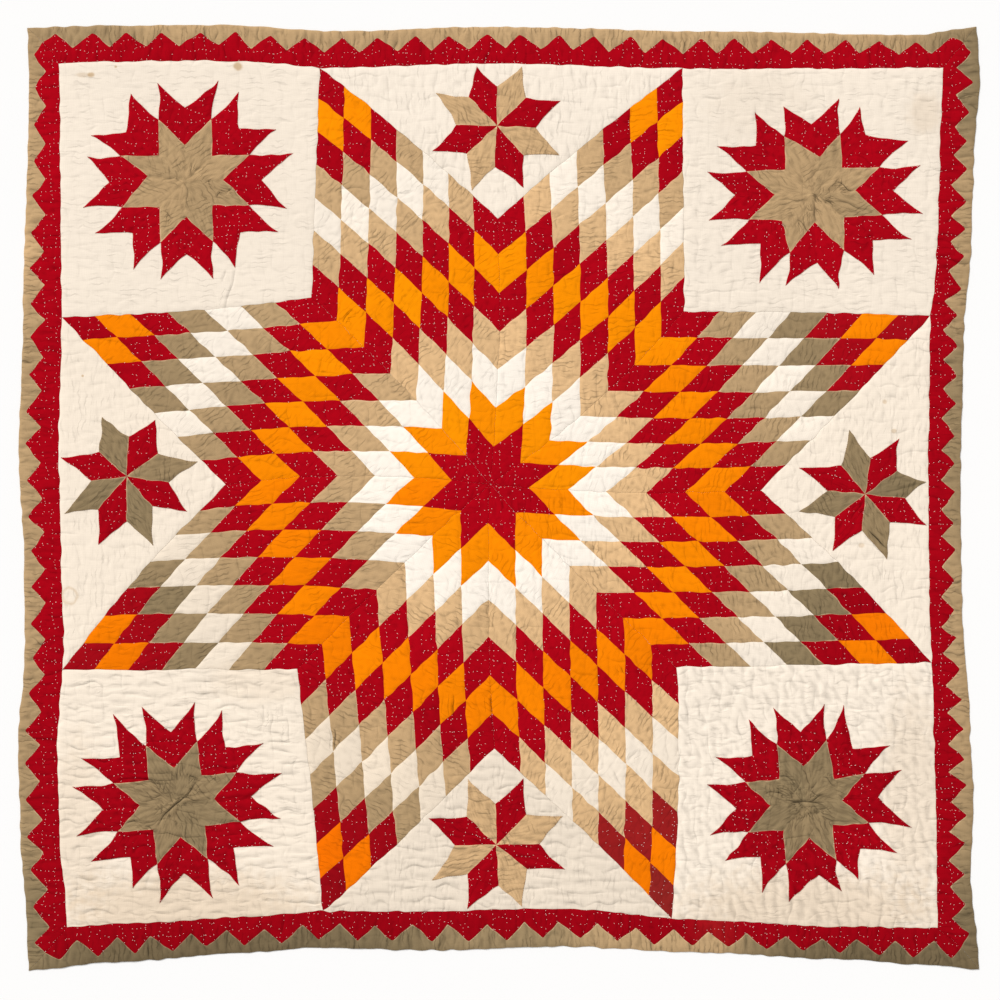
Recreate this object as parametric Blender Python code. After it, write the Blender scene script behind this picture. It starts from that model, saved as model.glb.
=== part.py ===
"""Star quilt blanket, lying flat and face up.

A bed quilt of pieced cotton: eight diamond points of small diamonds make one large star,
with plain squares and triangles between the points, a small star sewn onto each of them,
and a border of red teeth on a khaki band. The quilt is about 2 m across. Every panel that a
maker sews in is a solid of its own, 0.3 mm from its neighbours, with a flat underside.

Metres, +Z up. The origin is under the middle of the quilt's box, on the surface it lies on.
Layout sizes are measured from a mark by the middle of the large star until the last step.
"""
import itertools
import math
import random
from collections import namedtuple

import bmesh
import bpy
from mathutils import Vector, noise
from mathutils.geometry import delaunay_2d_cdt

OBJECT_NAME = "star_quilt_blanket"

# Clearance between sewn pieces, and between a star and the cloth it is sewn onto
GAP = 0.0003

# Heights of the quilted cloth above the surface it lies on
SEAM_HEIGHT = 0.0026
CROWN_RISE = 0.0020
HEM_HEIGHT = 0.0022
STAR_CLOTH = 0.0009
STAR_RISE = 0.0012
SWELL = 0.0004
SWELL_LENGTH = 0.22

# Patchwork of one point of the large star
DIAMONDS_ACROSS = 7
TIP_SHARE = 0.92
PUFF_SLOPE = 0.014
RING_CLOTHS = (
    "red", "orange", "white", "khaki", "red", "orange", "red",
    "khaki", "white", "khaki", "red", "orange", "red",
)

# Every third line of the hand quilting on the plain cloth
QUILTING_PITCH = 0.076
QUILTING_MARGIN = 0.016

# How far hand cutting and sewing push a seam off its true place
SEAM_STRAY = 0.0022
STRAY_LENGTH = 0.070
STRAY_SEED = 1795849650  # the seams stray the same way in every build
TOOTH_STRAY_ALONG = 0.0045
TOOTH_STRAY_ACROSS = 0.0022
TOOTH_SEED = 11

# Seam points between a corner of the field and a star tip, and between two tips
CORNER_STEPS = 7
MIDDLE_STEPS = 10
CORNER_LOBE_BULGE = 0.004
CORNER_PASSES = 6
BORDER_CROWN_RISE = 0.0014
SAME_POINT = 1e-7

Edge = namedtuple("Edge", "along outer width")
BORDER_EDGES = {
    "top": (
        Edge(-0.967, 0.963, 0.076),
        Edge(-0.816, 0.967, 0.076),
        Edge(-0.566, 0.969, 0.075),
        Edge(-0.326, 0.956, 0.077),
        Edge(0.019, 0.965, 0.077),
        Edge(0.416, 0.956, 0.079),
        Edge(0.890, 0.948, 0.069),
        Edge(1.013, 0.965, 0.086),
    ),
    "right": (
        Edge(-1.004, 1.019, 0.086),
        Edge(-0.796, 1.001, 0.070),
        Edge(-0.649, 1.007, 0.078),
        Edge(-0.503, 1.000, 0.075),
        Edge(-0.232, 0.983, 0.068),
        Edge(0.029, 0.980, 0.068),
        Edge(0.332, 0.987, 0.070),
        Edge(0.499, 1.002, 0.071),
        Edge(0.697, 1.008, 0.071),
        Edge(0.869, 1.021, 0.079),
        Edge(0.965, 1.013, 0.071),
    ),
    "bottom": (
        Edge(-0.965, 1.006, 0.087),
        Edge(-0.796, 0.988, 0.080),
        Edge(-0.503, 0.968, 0.074),
        Edge(-0.378, 0.958, 0.076),
        Edge(-0.127, 0.963, 0.081),
        Edge(0.144, 0.955, 0.080),
        Edge(0.436, 0.967, 0.067),
        Edge(0.708, 0.981, 0.068),
        Edge(0.927, 0.994, 0.078),
        Edge(1.019, 1.004, 0.089),
    ),
    "left": (
        Edge(-1.006, 0.965, 0.080),
        Edge(-0.921, 0.969, 0.084),
        Edge(-0.712, 0.983, 0.083),
        Edge(-0.545, 0.988, 0.082),
        Edge(-0.336, 0.973, 0.081),
        Edge(-0.148, 0.975, 0.079),
        Edge(0.071, 0.986, 0.083),
        Edge(0.359, 0.977, 0.081),
        Edge(0.833, 0.965, 0.065),
        Edge(0.963, 0.967, 0.065),
    ),
}

# Red teeth: how many, where the first and last peak stand, and the share of the border's
# width that a peak and a hollow reach
Teeth = namedtuple("Teeth", "count first last peak hollow")
TEETH = {
    "top": Teeth(26, -0.909, 0.961, 0.81, 0.40),
    "right": Teeth(31, -0.927, 0.911, 0.81, 0.37),
    "bottom": Teeth(25, -0.900, 0.960, 0.80, 0.35),
    "left": Teeth(26, -0.947, 0.907, 0.83, 0.44),
}

# Where two tips of the large star meet each side's border
Tips = namedtuple("Tips", "low high")
STAR_TIPS = {
    "top": Tips(-0.357, 0.399),
    "right": Tips(-0.363, 0.361),
    "bottom": Tips(-0.351, 0.378),
    "left": Tips(-0.378, 0.359),
}

# Where the eight points of the large star meet
STAR_MIDDLE = (-0.0031, 0.0091)

# Inner corners between the points of the large star, and how far the seam from the middle
# to each bows clockwise off its straight line
Hollow = namedtuple("Hollow", "x y bow")
HOLLOWS = {
    "n": Hollow(0.015, 0.564, 0.0101),
    "ne": Hollow(0.403, 0.370, 0.0184),
    "e": Hollow(0.562, -0.002, 0.0105),
    "se": Hollow(0.388, -0.372, 0.0060),
    "s": Hollow(0.006, -0.541, 0.0063),
    "sw": Hollow(-0.405, -0.376, 0.0052),
    "w": Hollow(-0.553, 0.008, 0.0197),
    "nw": Hollow(-0.374, 0.399, 0.0108),
}

# Points of the large star: the hollow on each side, the border tip between them, and how far
# the edge from each hollow to the tip bows outwards
StarPoint = namedtuple("StarPoint", "name first side end second first_bow second_bow")
STAR_POINTS = (
    StarPoint("nne", "n", "top", "high", "ne", 0.006, 0.0),
    StarPoint("ene", "ne", "right", "high", "e", 0.003, 0.003),
    StarPoint("ese", "e", "right", "low", "se", 0.008, 0.0),
    StarPoint("sse", "se", "bottom", "high", "s", 0.008, -0.004),
    StarPoint("ssw", "s", "bottom", "low", "sw", 0.005, -0.003),
    StarPoint("wsw", "sw", "left", "low", "w", 0.0, 0.012),
    StarPoint("wnw", "w", "left", "high", "nw", 0.002, -0.007),
    StarPoint("nnw", "nw", "top", "low", "n", 0.0, 0.006),
)

# Small stars sewn on: middle, turn in degrees, stretch, and how far from the middle the hollows,
# khaki tips and notches lie; a far tip stands out by far beyond its diamond
SmallStar = namedtuple("SmallStar", "name x y turn wide high hollow tip notch far first_cloth")
CORNER_STARS = (
    SmallStar("nw", -0.637, 0.643, 0.7, 1.022, 0.978, 0.0771, 0.1414, 0.1559, 0.0023, "khaki"),
    SmallStar("ne", 0.675, 0.617, 2.0, 1.067, 0.933, 0.0783, 0.1410, 0.1556, 0.0012, "khaki"),
    SmallStar("sw", -0.655, -0.654, 5.2, 1.023, 0.977, 0.0750, 0.1361, 0.1518, 0.0095, "khaki"),
    SmallStar("se", 0.658, -0.654, 4.4, 1.001, 0.999, 0.0748, 0.1356, 0.1482, 0.0042, "khaki"),
)
SIDE_STARS = (
    SmallStar("n", 0.011, 0.757, -1.6, 0.993, 1.007, 0.0834, 0.1443, 0.0, 0.0, "red"),
    SmallStar("e", 0.782, -0.011, -6.2, 1.036, 0.964, 0.0793, 0.1396, 0.0, 0.0, "khaki"),
    SmallStar("s", 0.0125, -0.742, 1.4, 1.013, 0.987, 0.0868, 0.1508, 0.0, 0.0, "khaki"),
    SmallStar("w", -0.758, 0.016, -1.6, 1.007, 0.993, 0.0851, 0.1462, 0.0, 0.0, "khaki"),
)
# Corners of the small stars that the maker cut well off their regular place
HandCut = namedtuple("HandCut", "star corner arm right up")
HAND_CUTS = (
    HandCut("nw", "far_after", 0, 0.011, 0.002),
    HandCut("nw", "far_before", 0, -0.006, -0.008),
    HandCut("nw", "far_before", 2, 0.015, 0.003),
    HandCut("nw", "notch", 3, -0.010, -0.004),
    HandCut("nw", "far_after", 3, -0.004, -0.011),
    HandCut("nw", "hollow", 4, 0.000, 0.011),
    HandCut("nw", "far_before", 4, 0.010, -0.002),
    HandCut("nw", "far_before", 7, -0.011, 0.000),
    HandCut("ne", "notch", 1, -0.007, 0.015),
    HandCut("ne", "far_after", 1, -0.017, 0.002),
    HandCut("ne", "hollow", 2, 0.013, 0.003),
    HandCut("ne", "far_after", 2, -0.001, -0.013),
    HandCut("ne", "hollow", 5, -0.010, -0.004),
    HandCut("ne", "far_after", 5, -0.004, -0.010),
    HandCut("ne", "hollow", 6, -0.003, 0.012),
    HandCut("ne", "far_after", 6, -0.017, -0.005),
    HandCut("ne", "far_before", 6, -0.010, 0.004),
    HandCut("sw", "far_after", 0, 0.011, -0.010),
    HandCut("sw", "far_before", 3, -0.002, 0.013),
    HandCut("sw", "far_after", 5, 0.003, 0.012),
    HandCut("se", "far_before", 0, 0.013, -0.016),
    HandCut("se", "hollow", 1, 0.009, -0.009),
    HandCut("se", "far_after", 1, -0.015, 0.015),
    HandCut("se", "notch", 6, 0.014, -0.004),
    HandCut("se", "far_after", 6, 0.005, 0.012),
    HandCut("se", "far_after", 7, 0.000, -0.012),
    HandCut("se", "far_before", 7, -0.014, 0.011),
    HandCut("n", "tip", 2, 0.007, -0.010),
    HandCut("n", "tip", 3, 0.005, 0.010),
    HandCut("n", "tip", 5, 0.004, -0.011),
    HandCut("n", "tip", 6, 0.006, 0.007),
    HandCut("e", "tip", 0, -0.011, -0.011),
    HandCut("e", "tip", 2, 0.007, 0.006),
    HandCut("e", "tip", 3, -0.013, -0.008),
    HandCut("e", "tip", 6, 0.005, -0.008),
    HandCut("s", "tip", 4, 0.005, -0.014),
    HandCut("s", "tip", 5, -0.010, -0.001),
    HandCut("s", "tip", 6, -0.010, 0.003),
    HandCut("s", "hollow", 7, 0.000, 0.009),
    HandCut("w", "tip", 0, 0.013, -0.011),
    HandCut("w", "tip", 3, -0.006, -0.010),
    HandCut("w", "tip", 4, 0.005, -0.016),
    HandCut("w", "tip", 7, -0.010, -0.004),
    HandCut("w", "hollow", 2, -0.001, 0.010),
    HandCut("w", "hollow", 4, 0.009, -0.002),
    HandCut("w", "hollow", 7, -0.006, 0.009),
    HandCut("w", "middle", 0, -0.002, 0.009),
)
# How far a small star's corners stay from the seams round its panel
TIP_CLEAR = 0.004
PULL_SHARE = 0.02
STAR_ARMS = 8

# Cloth colours, and the rough dry finish of old washed cotton
CLOTH_COLOURS = {
    "red": (0.40, 0.003, 0.008),
    "orange": (0.97, 0.29, 0.004),
    "white": (0.95, 0.86, 0.75),
    "khaki": (0.47, 0.36, 0.21),
}
COTTON_ROUGHNESS = 0.9


def clear_scene():
    for old in list(bpy.data.objects):
        bpy.data.objects.remove(old, do_unlink=True)


def cotton(cloth):
    material = bpy.data.materials.new("cotton_" + cloth)
    material.use_nodes = True
    shader = material.node_tree.nodes["Principled BSDF"]
    shader.inputs["Base Color"].default_value = (*CLOTH_COLOURS[cloth], 1.0)
    shader.inputs["Roughness"].default_value = COTTON_ROUGHNESS
    shader.inputs["Metallic"].default_value = 0.0
    material.diffuse_color = (*CLOTH_COLOURS[cloth], 1.0)
    return material


def strayed(point):
    """Push a seam point off its true place, the same way for both cloths that share it."""
    push = noise.noise_vector(Vector((point.x, point.y, 0.0)) / STRAY_LENGTH)
    return point + push.to_2d() * SEAM_STRAY


def swell(point):
    """The slow rise and fall of the quilt's thickness."""
    return SWELL * noise.noise(Vector((point.x, point.y, 0.5)) / SWELL_LENGTH)


def border_reach(side, along, column):
    """A column of a side's edge table at a place along it, eased from row to row."""
    rows = BORDER_EDGES[side]
    low, high = rows[0], rows[0]
    for row in rows:
        high = row
        if row.along >= along:
            break
        low = row
    span = high.along - low.along
    share = 0.0 if span <= 0.0 else min(1.0, (along - low.along) / span)
    share = share * share * (3.0 - 2.0 * share)
    return getattr(low, column) * (1.0 - share) + getattr(high, column) * share


def place(side, along, across):
    """A point across from the star's middle on one side, as x and y."""
    if side == "top":
        return Vector((along, across))
    if side == "bottom":
        return Vector((along, -across))
    if side == "right":
        return Vector((across, along))
    return Vector((-across, along))


def inner_reach(side, along):
    return border_reach(side, along, "outer") - border_reach(side, along, "width")


def field_corner(level_side, upright_side):
    """Where the inner edges of two borders meet."""
    along_level = border_reach(upright_side, 0.0, "outer")
    sign_x = 1.0 if upright_side == "right" else -1.0
    sign_y = 1.0 if level_side == "top" else -1.0
    for _ in range(CORNER_PASSES):
        along_upright = sign_y * inner_reach(level_side, sign_x * along_level)
        along_level = inner_reach(upright_side, along_upright)
    return Vector((sign_x * along_level, along_upright))


def evenly(first, last, steps):
    return [first + (last - first) * step / steps for step in range(steps + 1)]


def inner_seam(side):
    """Seam points along a side's inner border edge, from low to high, with both star tips."""
    if side in ("top", "bottom"):
        low = field_corner(side, "left").x
        high = field_corner(side, "right").x
    else:
        low = field_corner("bottom", side).y
        high = field_corner("top", side).y
    tips = STAR_TIPS[side]
    stops = evenly(low, tips.low, CORNER_STEPS)
    stops += evenly(tips.low, tips.high, MIDDLE_STEPS)[1:]
    stops += evenly(tips.high, high, CORNER_STEPS)[1:]
    return [place(side, along, inner_reach(side, along)) for along in stops]


def tooth_line(side, chance):
    """Peaks and hollows of a side's red teeth, from low to high."""
    teeth = TEETH[side]
    points = []
    spots = evenly(teeth.first, teeth.last, 2 * (teeth.count - 1))
    for index, along in enumerate(spots):
        share = teeth.peak if index % 2 == 0 else teeth.hollow
        inner = inner_reach(side, along)
        across = inner + share * (border_reach(side, along, "outer") - inner)
        if 0 < index < len(spots) - 1:
            along += chance.uniform(-TOOTH_STRAY_ALONG, TOOTH_STRAY_ALONG)
            across += chance.uniform(-TOOTH_STRAY_ACROSS, TOOTH_STRAY_ACROSS)
        points.append(place(side, along, across))
    return points


def outer_line(side):
    """Points on a side's outer hem, one beside each peak and hollow and one at each corner."""
    rows = BORDER_EDGES[side]
    teeth = TEETH[side]
    stops = [rows[0].along]
    stops += evenly(teeth.first, teeth.last, 2 * (teeth.count - 1))
    stops.append(rows[-1].along)
    return [place(side, along, border_reach(side, along, "outer")) for along in stops]


def lobe(level_line, upright_line, corner):
    """The red cloth's outer point at a corner, a little outside its two last peaks."""
    middle = (level_line + upright_line) / 2
    return middle + (corner - middle).normalized() * CORNER_LOBE_BULGE


class Layout:
    """Every seam of the quilt, worked out once so that neighbours share the same points."""

    def __init__(self):
        chance = random.Random(TOOTH_SEED)
        self.seams = {side: inner_seam(side) for side in BORDER_EDGES}
        self.teeth = {side: tooth_line(side, chance) for side in BORDER_EDGES}
        self.hems = {side: outer_line(side) for side in BORDER_EDGES}
        self.lobes = {}
        for level, upright in itertools.product(("top", "bottom"), ("left", "right")):
            level_end = 0 if upright == "left" else -1
            upright_end = -1 if level == "top" else 0
            corner = self.hems[level][level_end]
            self.lobes[level, upright] = lobe(
                self.teeth[level][level_end], self.teeth[upright][upright_end], corner
            )
        self.middle = self.box_middle()

    def box_middle(self):
        hem = [point for side in self.hems.values() for point in side]
        across = [point.x for point in hem]
        along = [point.y for point in hem]
        return Vector(((min(across) + max(across)) / 2, (min(along) + max(along)) / 2))

    def tip(self, side, end):
        step = CORNER_STEPS if end == "low" else CORNER_STEPS + MIDDLE_STEPS
        return self.seams[side][step]

    def lobe_pair(self, side):
        """The red corner points at a side's low and high ends."""
        if side in ("top", "bottom"):
            return self.lobes[side, "left"], self.lobes[side, "right"]
        return self.lobes["bottom", side], self.lobes["top", side]


def diamond_steps():
    """Shares along a star point's edge, with the last diamond partly lost in the seam."""
    full = DIAMONDS_ACROSS - 1 + TIP_SHARE
    return [step / full for step in range(DIAMONDS_ACROSS)] + [1.0]


def bowed(start, end, away_from, bow, share):
    """How far a seam from start to end lies off its straight line at a share of its length."""
    run = end - start
    outwards = Vector((-run.y, run.x)).normalized()
    if outwards.dot(away_from - start) > 0.0:
        outwards.negate()
    return outwards * bow * 4.0 * share * (1.0 - share)


def seam_bow(hollow, share):
    """How far the seam from the star's middle to a hollow lies off its straight line."""
    run = Vector((hollow.x, hollow.y)) - Vector(STAR_MIDDLE)
    clockwise = Vector((run.y, -run.x)).normalized()
    return clockwise * hollow.bow * 4.0 * share * (1.0 - share)


def point_spot(layout, point, share_first, share_second):
    """A spot in a star point, by its shares towards the two hollows beside it."""
    first_hollow, second_hollow = HOLLOWS[point.first], HOLLOWS[point.second]
    first = Vector((first_hollow.x, first_hollow.y))
    second = Vector((second_hollow.x, second_hollow.y))
    tip = layout.tip(point.side, point.end)
    spot = Vector(STAR_MIDDLE) * (1 - share_first) * (1 - share_second)
    spot += first * share_first * (1 - share_second)
    spot += second * share_second * (1 - share_first)
    spot += tip * share_first * share_second
    spot += seam_bow(first_hollow, share_first) * (1 - share_second)
    spot += seam_bow(second_hollow, share_second) * (1 - share_first)
    spot += bowed(first, tip, second, point.first_bow, share_second) * share_first
    spot += bowed(second, tip, first, point.second_bow, share_first) * share_second
    return spot


def point_edge(layout, point, from_hollow):
    """Seam points of a star point from one of its hollows out to its tip."""
    if from_hollow == point.first:
        return [point_spot(layout, point, 1.0, share) for share in diamond_steps()]
    return [point_spot(layout, point, share, 1.0) for share in diamond_steps()]


def draw_in(sheet, distance):
    """Move a sheet's rim inwards, square to its edges."""
    moves = []
    for vert in sheet.verts:
        rims = [edge for edge in vert.link_edges if edge.is_boundary]
        if len(rims) != 2:
            continue
        inwards = []
        for edge in rims:
            run = (edge.verts[1].co - edge.verts[0].co).to_2d()
            inward = Vector((-run.y, run.x)).normalized()
            towards = edge.link_faces[0].calc_center_median() - edge.verts[0].co
            if inward.dot(towards.to_2d()) < 0.0:
                inward.negate()
            inwards.append(inward)
        mitre = (inwards[0] + inwards[1]) / (1.0 + inwards[0].dot(inwards[1]))
        moves.append((vert, mitre * distance))
    for vert, move in moves:
        vert.co += move.to_3d()


def close_down_to_surface(sheet):
    """Give an open sheet its sides and one flat underside at height 0."""
    made = bmesh.ops.extrude_face_region(sheet, geom=list(sheet.faces), use_keep_orig=True)
    below = [item for item in made["geom"] if isinstance(item, bmesh.types.BMVert)]
    for vert in below:
        vert.co.z = 0.0
    under = [item for item in made["geom"] if isinstance(item, bmesh.types.BMFace)]
    bmesh.ops.dissolve_faces(sheet, faces=under, use_verts=False)
    bmesh.ops.recalc_face_normals(sheet, faces=list(sheet.faces))


def cloth_object(name, sheet, cloths, collection, materials, middle):
    """Finish a sheet as a named object with one material for each of its cloths."""
    bmesh.ops.translate(sheet, verts=list(sheet.verts), vec=(-middle.x, -middle.y, 0.0))
    mesh = bpy.data.meshes.new(name)
    sheet.to_mesh(mesh)
    sheet.free()
    for cloth in cloths:
        mesh.materials.append(materials[cloth])
    made = bpy.data.objects.new(name, mesh)
    collection.objects.link(made)
    return made


def star_point(layout, point):
    """One point of the large star: a grid of diamonds, each puffed up between its seams."""
    sheet = bmesh.new()
    bmesh.ops.create_grid(sheet, x_segments=DIAMONDS_ACROSS, y_segments=DIAMONDS_ACROSS, size=0.5)
    steps = diamond_steps()
    columns = {}
    for vert in sheet.verts:
        column = round((vert.co.x + 0.5) * DIAMONDS_ACROSS)
        row = round((vert.co.y + 0.5) * DIAMONDS_ACROSS)
        columns[vert] = (column, row)
        spot = strayed(point_spot(layout, point, steps[column], steps[row]))
        vert.co = (spot.x, spot.y, SEAM_HEIGHT + swell(spot))
    cloths = sorted(set(RING_CLOTHS))
    for face in sheet.faces:
        ring = min(sum(columns[vert]) for vert in face.verts)
        face.material_index = cloths.index(RING_CLOTHS[ring])
    draw_in(sheet, GAP / 2)
    bmesh.ops.recalc_face_normals(sheet, faces=list(sheet.faces))
    for face in sheet.faces:
        if face.normal.z < 0.0:
            face.normal_flip()
    bmesh.ops.inset_individual(
        sheet, faces=list(sheet.faces), thickness=PUFF_SLOPE, depth=CROWN_RISE, use_even_offset=True
    )
    close_down_to_surface(sheet)
    return sheet, cloths


def loop_edges(count, start=0):
    return [(start + step, start + (step + 1) % count) for step in range(count)]


def inside(outline, point):
    """True where a point lies within a closed outline."""
    within = False
    for first, second in zip(outline, outline[1:] + outline[:1]):
        if (first.y > point.y) != (second.y > point.y):
            crossing = first.x + (point.y - first.y) * (second.x - first.x) / (second.y - first.y)
            if point.x < crossing:
                within = not within
    return within


def clear_of(outline, point, distance):
    """True where a point keeps a distance from every edge of an outline."""
    for first, second in zip(outline, outline[1:] + outline[:1]):
        run = second - first
        share = max(0.0, min(1.0, (point - first).dot(run) / run.length_squared))
        if (first + run * share - point).length < distance:
            return False
    return True


def woven_sheet(spots, edges, heights):
    """An open sheet of triangles through the spots, with the edges kept as seams."""
    found = delaunay_2d_cdt(spots, edges, [], 1, SAME_POINT)
    corners, faces, sources = found[0], found[2], found[3]
    sheet = bmesh.new()
    for corner, source in zip(corners, sources):
        sheet.verts.new((corner.x, corner.y, heights[source[0]]))
    sheet.verts.ensure_lookup_table()
    for face in faces:
        sheet.faces.new([sheet.verts[index] for index in face])
    return sheet


def small_star_points(star, arms_beyond, outline):
    """Seam points of a small star, by name: its middle, hollows, khaki tips and far tips."""
    half_arm = math.pi / STAR_ARMS
    turn = math.radians(star.turn)
    middle = Vector((star.x, star.y))

    def run(radius, angle):
        away_x = radius * math.cos(angle + turn) * star.wide
        away_y = radius * math.sin(angle + turn) * star.high
        return Vector((away_x, away_y))

    runs = {("middle", 0): Vector((0.0, 0.0))}
    for arm in range(STAR_ARMS):
        angle = 2.0 * half_arm * arm
        runs["hollow", arm] = run(star.hollow, angle)
        runs["tip", arm] = run(star.tip, angle + half_arm)
        if arms_beyond:
            runs["notch", arm] = run(star.notch, angle)
            for name, side in (("far_after", half_arm), ("far_before", -half_arm)):
                away = run(star.hollow, angle) + run(star.tip, angle + side)
                runs[name, arm] = away * (1.0 + star.far / away.length)
    for cut in HAND_CUTS:
        if cut.star == star.name:
            runs[cut.corner, cut.arm] += Vector((cut.right, cut.up))
    points = {}
    for name, away in runs.items():
        point = strayed(middle + away)
        while not (inside(outline, point) and clear_of(outline, point, TIP_CLEAR)):
            point = point.lerp(middle, PULL_SHARE)
        points[name] = point
    return points


def small_star_patches(points, arms_beyond, first_cloth):
    """The star's diamonds as corner names and a cloth."""
    other = "khaki" if first_cloth == "red" else "red"
    patches = []
    for arm in range(STAR_ARMS):
        after = (arm + 1) % STAR_ARMS
        cloth = "khaki"
        if not arms_beyond:
            cloth = first_cloth if arm % 2 == 0 else other
        patches.append(((("middle", 0), ("hollow", arm), ("tip", arm), ("hollow", after)), cloth))
        if arms_beyond:
            root, notch = ("hollow", arm), ("notch", arm)
            before = ("tip", (arm - 1) % STAR_ARMS)
            patches.append(((root, ("tip", arm), ("far_after", arm), notch), "red"))
            patches.append(((root, notch, ("far_before", arm), before), "red"))
    return patches


def small_star_outline(points, arms_beyond):
    names = []
    for arm in range(STAR_ARMS):
        if arms_beyond:
            names += [("far_before", arm), ("notch", arm), ("far_after", arm), ("tip", arm)]
        else:
            names += [("hollow", arm), ("tip", arm)]
    return [points[name] for name in names]


def quilting_spots(outline, star_outline):
    """Points on the quilting lines and halfway between them, inside a panel and off its star."""
    half = QUILTING_PITCH / 2
    low_x = math.floor(min(point.x for point in outline) / half)
    high_x = math.ceil(max(point.x for point in outline) / half)
    low_y = math.floor(min(point.y for point in outline) / half)
    high_y = math.ceil(max(point.y for point in outline) / half)
    spots = []
    for column in range(low_x, high_x + 1):
        for row in range(low_y, high_y + 1):
            spot = Vector((column * half, row * half))
            if not inside(outline, spot) or not clear_of(outline, spot, QUILTING_MARGIN):
                continue
            if inside(star_outline, spot) or not clear_of(star_outline, spot, QUILTING_MARGIN):
                continue
            crown = CROWN_RISE if column % 2 and row % 2 else 0.0
            spots.append((spot, SEAM_HEIGHT + crown + swell(spot)))
    return spots


def plain_panel_and_star(outline, star, arms_beyond):
    """A plain panel and the small star on it, whose underside follows the panel's top."""
    rim = [strayed(point) for point in outline]
    points = small_star_points(star, arms_beyond, rim)
    patches = small_star_patches(points, arms_beyond, star.first_cloth)
    star_outline = small_star_outline(points, arms_beyond)
    spots = list(rim)
    heights = [SEAM_HEIGHT + swell(point) for point in rim]
    edges = loop_edges(len(rim))
    places = {}
    for name, point in points.items():
        places[name] = len(spots)
        spots.append(point)
        heights.append(SEAM_HEIGHT + swell(point))
    for corners, _ in patches:
        ring = [places[name] for name in corners]
        edges += list(zip(ring, ring[1:] + ring[:1]))
        crown = sum((points[name] for name in corners), Vector((0.0, 0.0))) / len(corners)
        spots.append(crown)
        heights.append(SEAM_HEIGHT + STAR_RISE + swell(crown))
    for spot, height in quilting_spots(rim, star_outline):
        spots.append(spot)
        heights.append(height)
    panel = woven_sheet(spots, sorted(set(tuple(sorted(edge)) for edge in edges)), heights)
    cloths = sorted({cloth for _, cloth in patches})
    laid = panel.copy()
    others = []
    rings = [([points[name] for name in corners], cloth) for corners, cloth in patches]
    for face in laid.faces:
        centre = face.calc_center_median().to_2d()
        found = [cloth for ring, cloth in rings if inside(ring, centre)]
        if found:
            face.material_index = cloths.index(found[0])
        else:
            others.append(face)
    bmesh.ops.delete(laid, geom=others, context="FACES")
    bmesh.ops.translate(laid, verts=list(laid.verts), vec=(0.0, 0.0, GAP))
    made = bmesh.ops.extrude_face_region(laid, geom=list(laid.faces), use_keep_orig=True)
    raised = [item for item in made["geom"] if isinstance(item, bmesh.types.BMVert)]
    bmesh.ops.translate(laid, verts=raised, vec=(0.0, 0.0, STAR_CLOTH))
    bmesh.ops.recalc_face_normals(laid, faces=list(laid.faces))
    draw_in(panel, GAP / 2)
    close_down_to_surface(panel)
    return panel, laid, cloths


def corner_square_outline(layout, level, upright, hollow, level_point, upright_point):
    """Rim of a plain corner square, round from the field's corner by the level border."""
    level_seam = layout.seams[level]
    upright_seam = layout.seams[upright]
    level_run = level_seam[: CORNER_STEPS + 1]
    if upright == "right":
        level_run = level_seam[-CORNER_STEPS - 1:][::-1]
    upright_run = upright_seam[: CORNER_STEPS + 1]
    if level == "top":
        upright_run = upright_seam[-CORNER_STEPS - 1:][::-1]
    to_hollow = point_edge(layout, level_point, hollow)[::-1]
    from_hollow = point_edge(layout, upright_point, hollow)
    return level_run + to_hollow[1:] + from_hollow[1:] + upright_run[::-1][1:-1]


def side_triangle_outline(layout, side, hollow, low_point, high_point):
    """Rim of a plain side triangle, from its low tip along the border and back by the hollow."""
    run = layout.seams[side][CORNER_STEPS: CORNER_STEPS + MIDDLE_STEPS + 1]
    to_hollow = point_edge(layout, high_point, hollow)[::-1]
    from_hollow = point_edge(layout, low_point, hollow)
    return run + to_hollow[1:] + from_hollow[1:-1]


def banded_strip(outline, crowns):
    """A border strip: its rim at seam height and a raised point in the middle of each tooth."""
    spots = [point for point, _ in outline] + crowns
    heights = [height + swell(point) for point, height in outline]
    heights += [SEAM_HEIGHT + BORDER_CROWN_RISE + swell(point) for point in crowns]
    strip = woven_sheet(spots, loop_edges(len(outline)), heights)
    draw_in(strip, GAP / 2)
    close_down_to_surface(strip)
    return strip


def toothed_border(layout, side):
    """The red strip of one side, with its teeth outwards."""
    low_lobe, high_lobe = layout.lobe_pair(side)
    teeth = layout.teeth[side]
    seam = [strayed(point) for point in layout.seams[side]]
    rim = seam + [high_lobe] + teeth[::-1] + [low_lobe]
    crowns = []
    for peak in teeth[2:-2:2]:
        along = peak.x if side in ("top", "bottom") else peak.y
        crowns.append((peak + place(side, along, inner_reach(side, along))) / 2)
    return banded_strip([(point, SEAM_HEIGHT) for point in rim], crowns)


def outer_border(layout, side):
    """The khaki strip of one side, behind the teeth and out to the hem."""
    low_lobe, high_lobe = layout.lobe_pair(side)
    teeth = layout.teeth[side]
    hem = layout.hems[side]
    rim = [(point, HEM_HEIGHT) for point in hem]
    rim += [(point, SEAM_HEIGHT) for point in [high_lobe] + teeth[::-1] + [low_lobe]]
    crowns = []
    for index in range(1, len(teeth) - 1, 2):
        crowns.append((teeth[index] + hem[index + 1]) / 2)
    return banded_strip(rim, crowns)


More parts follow.
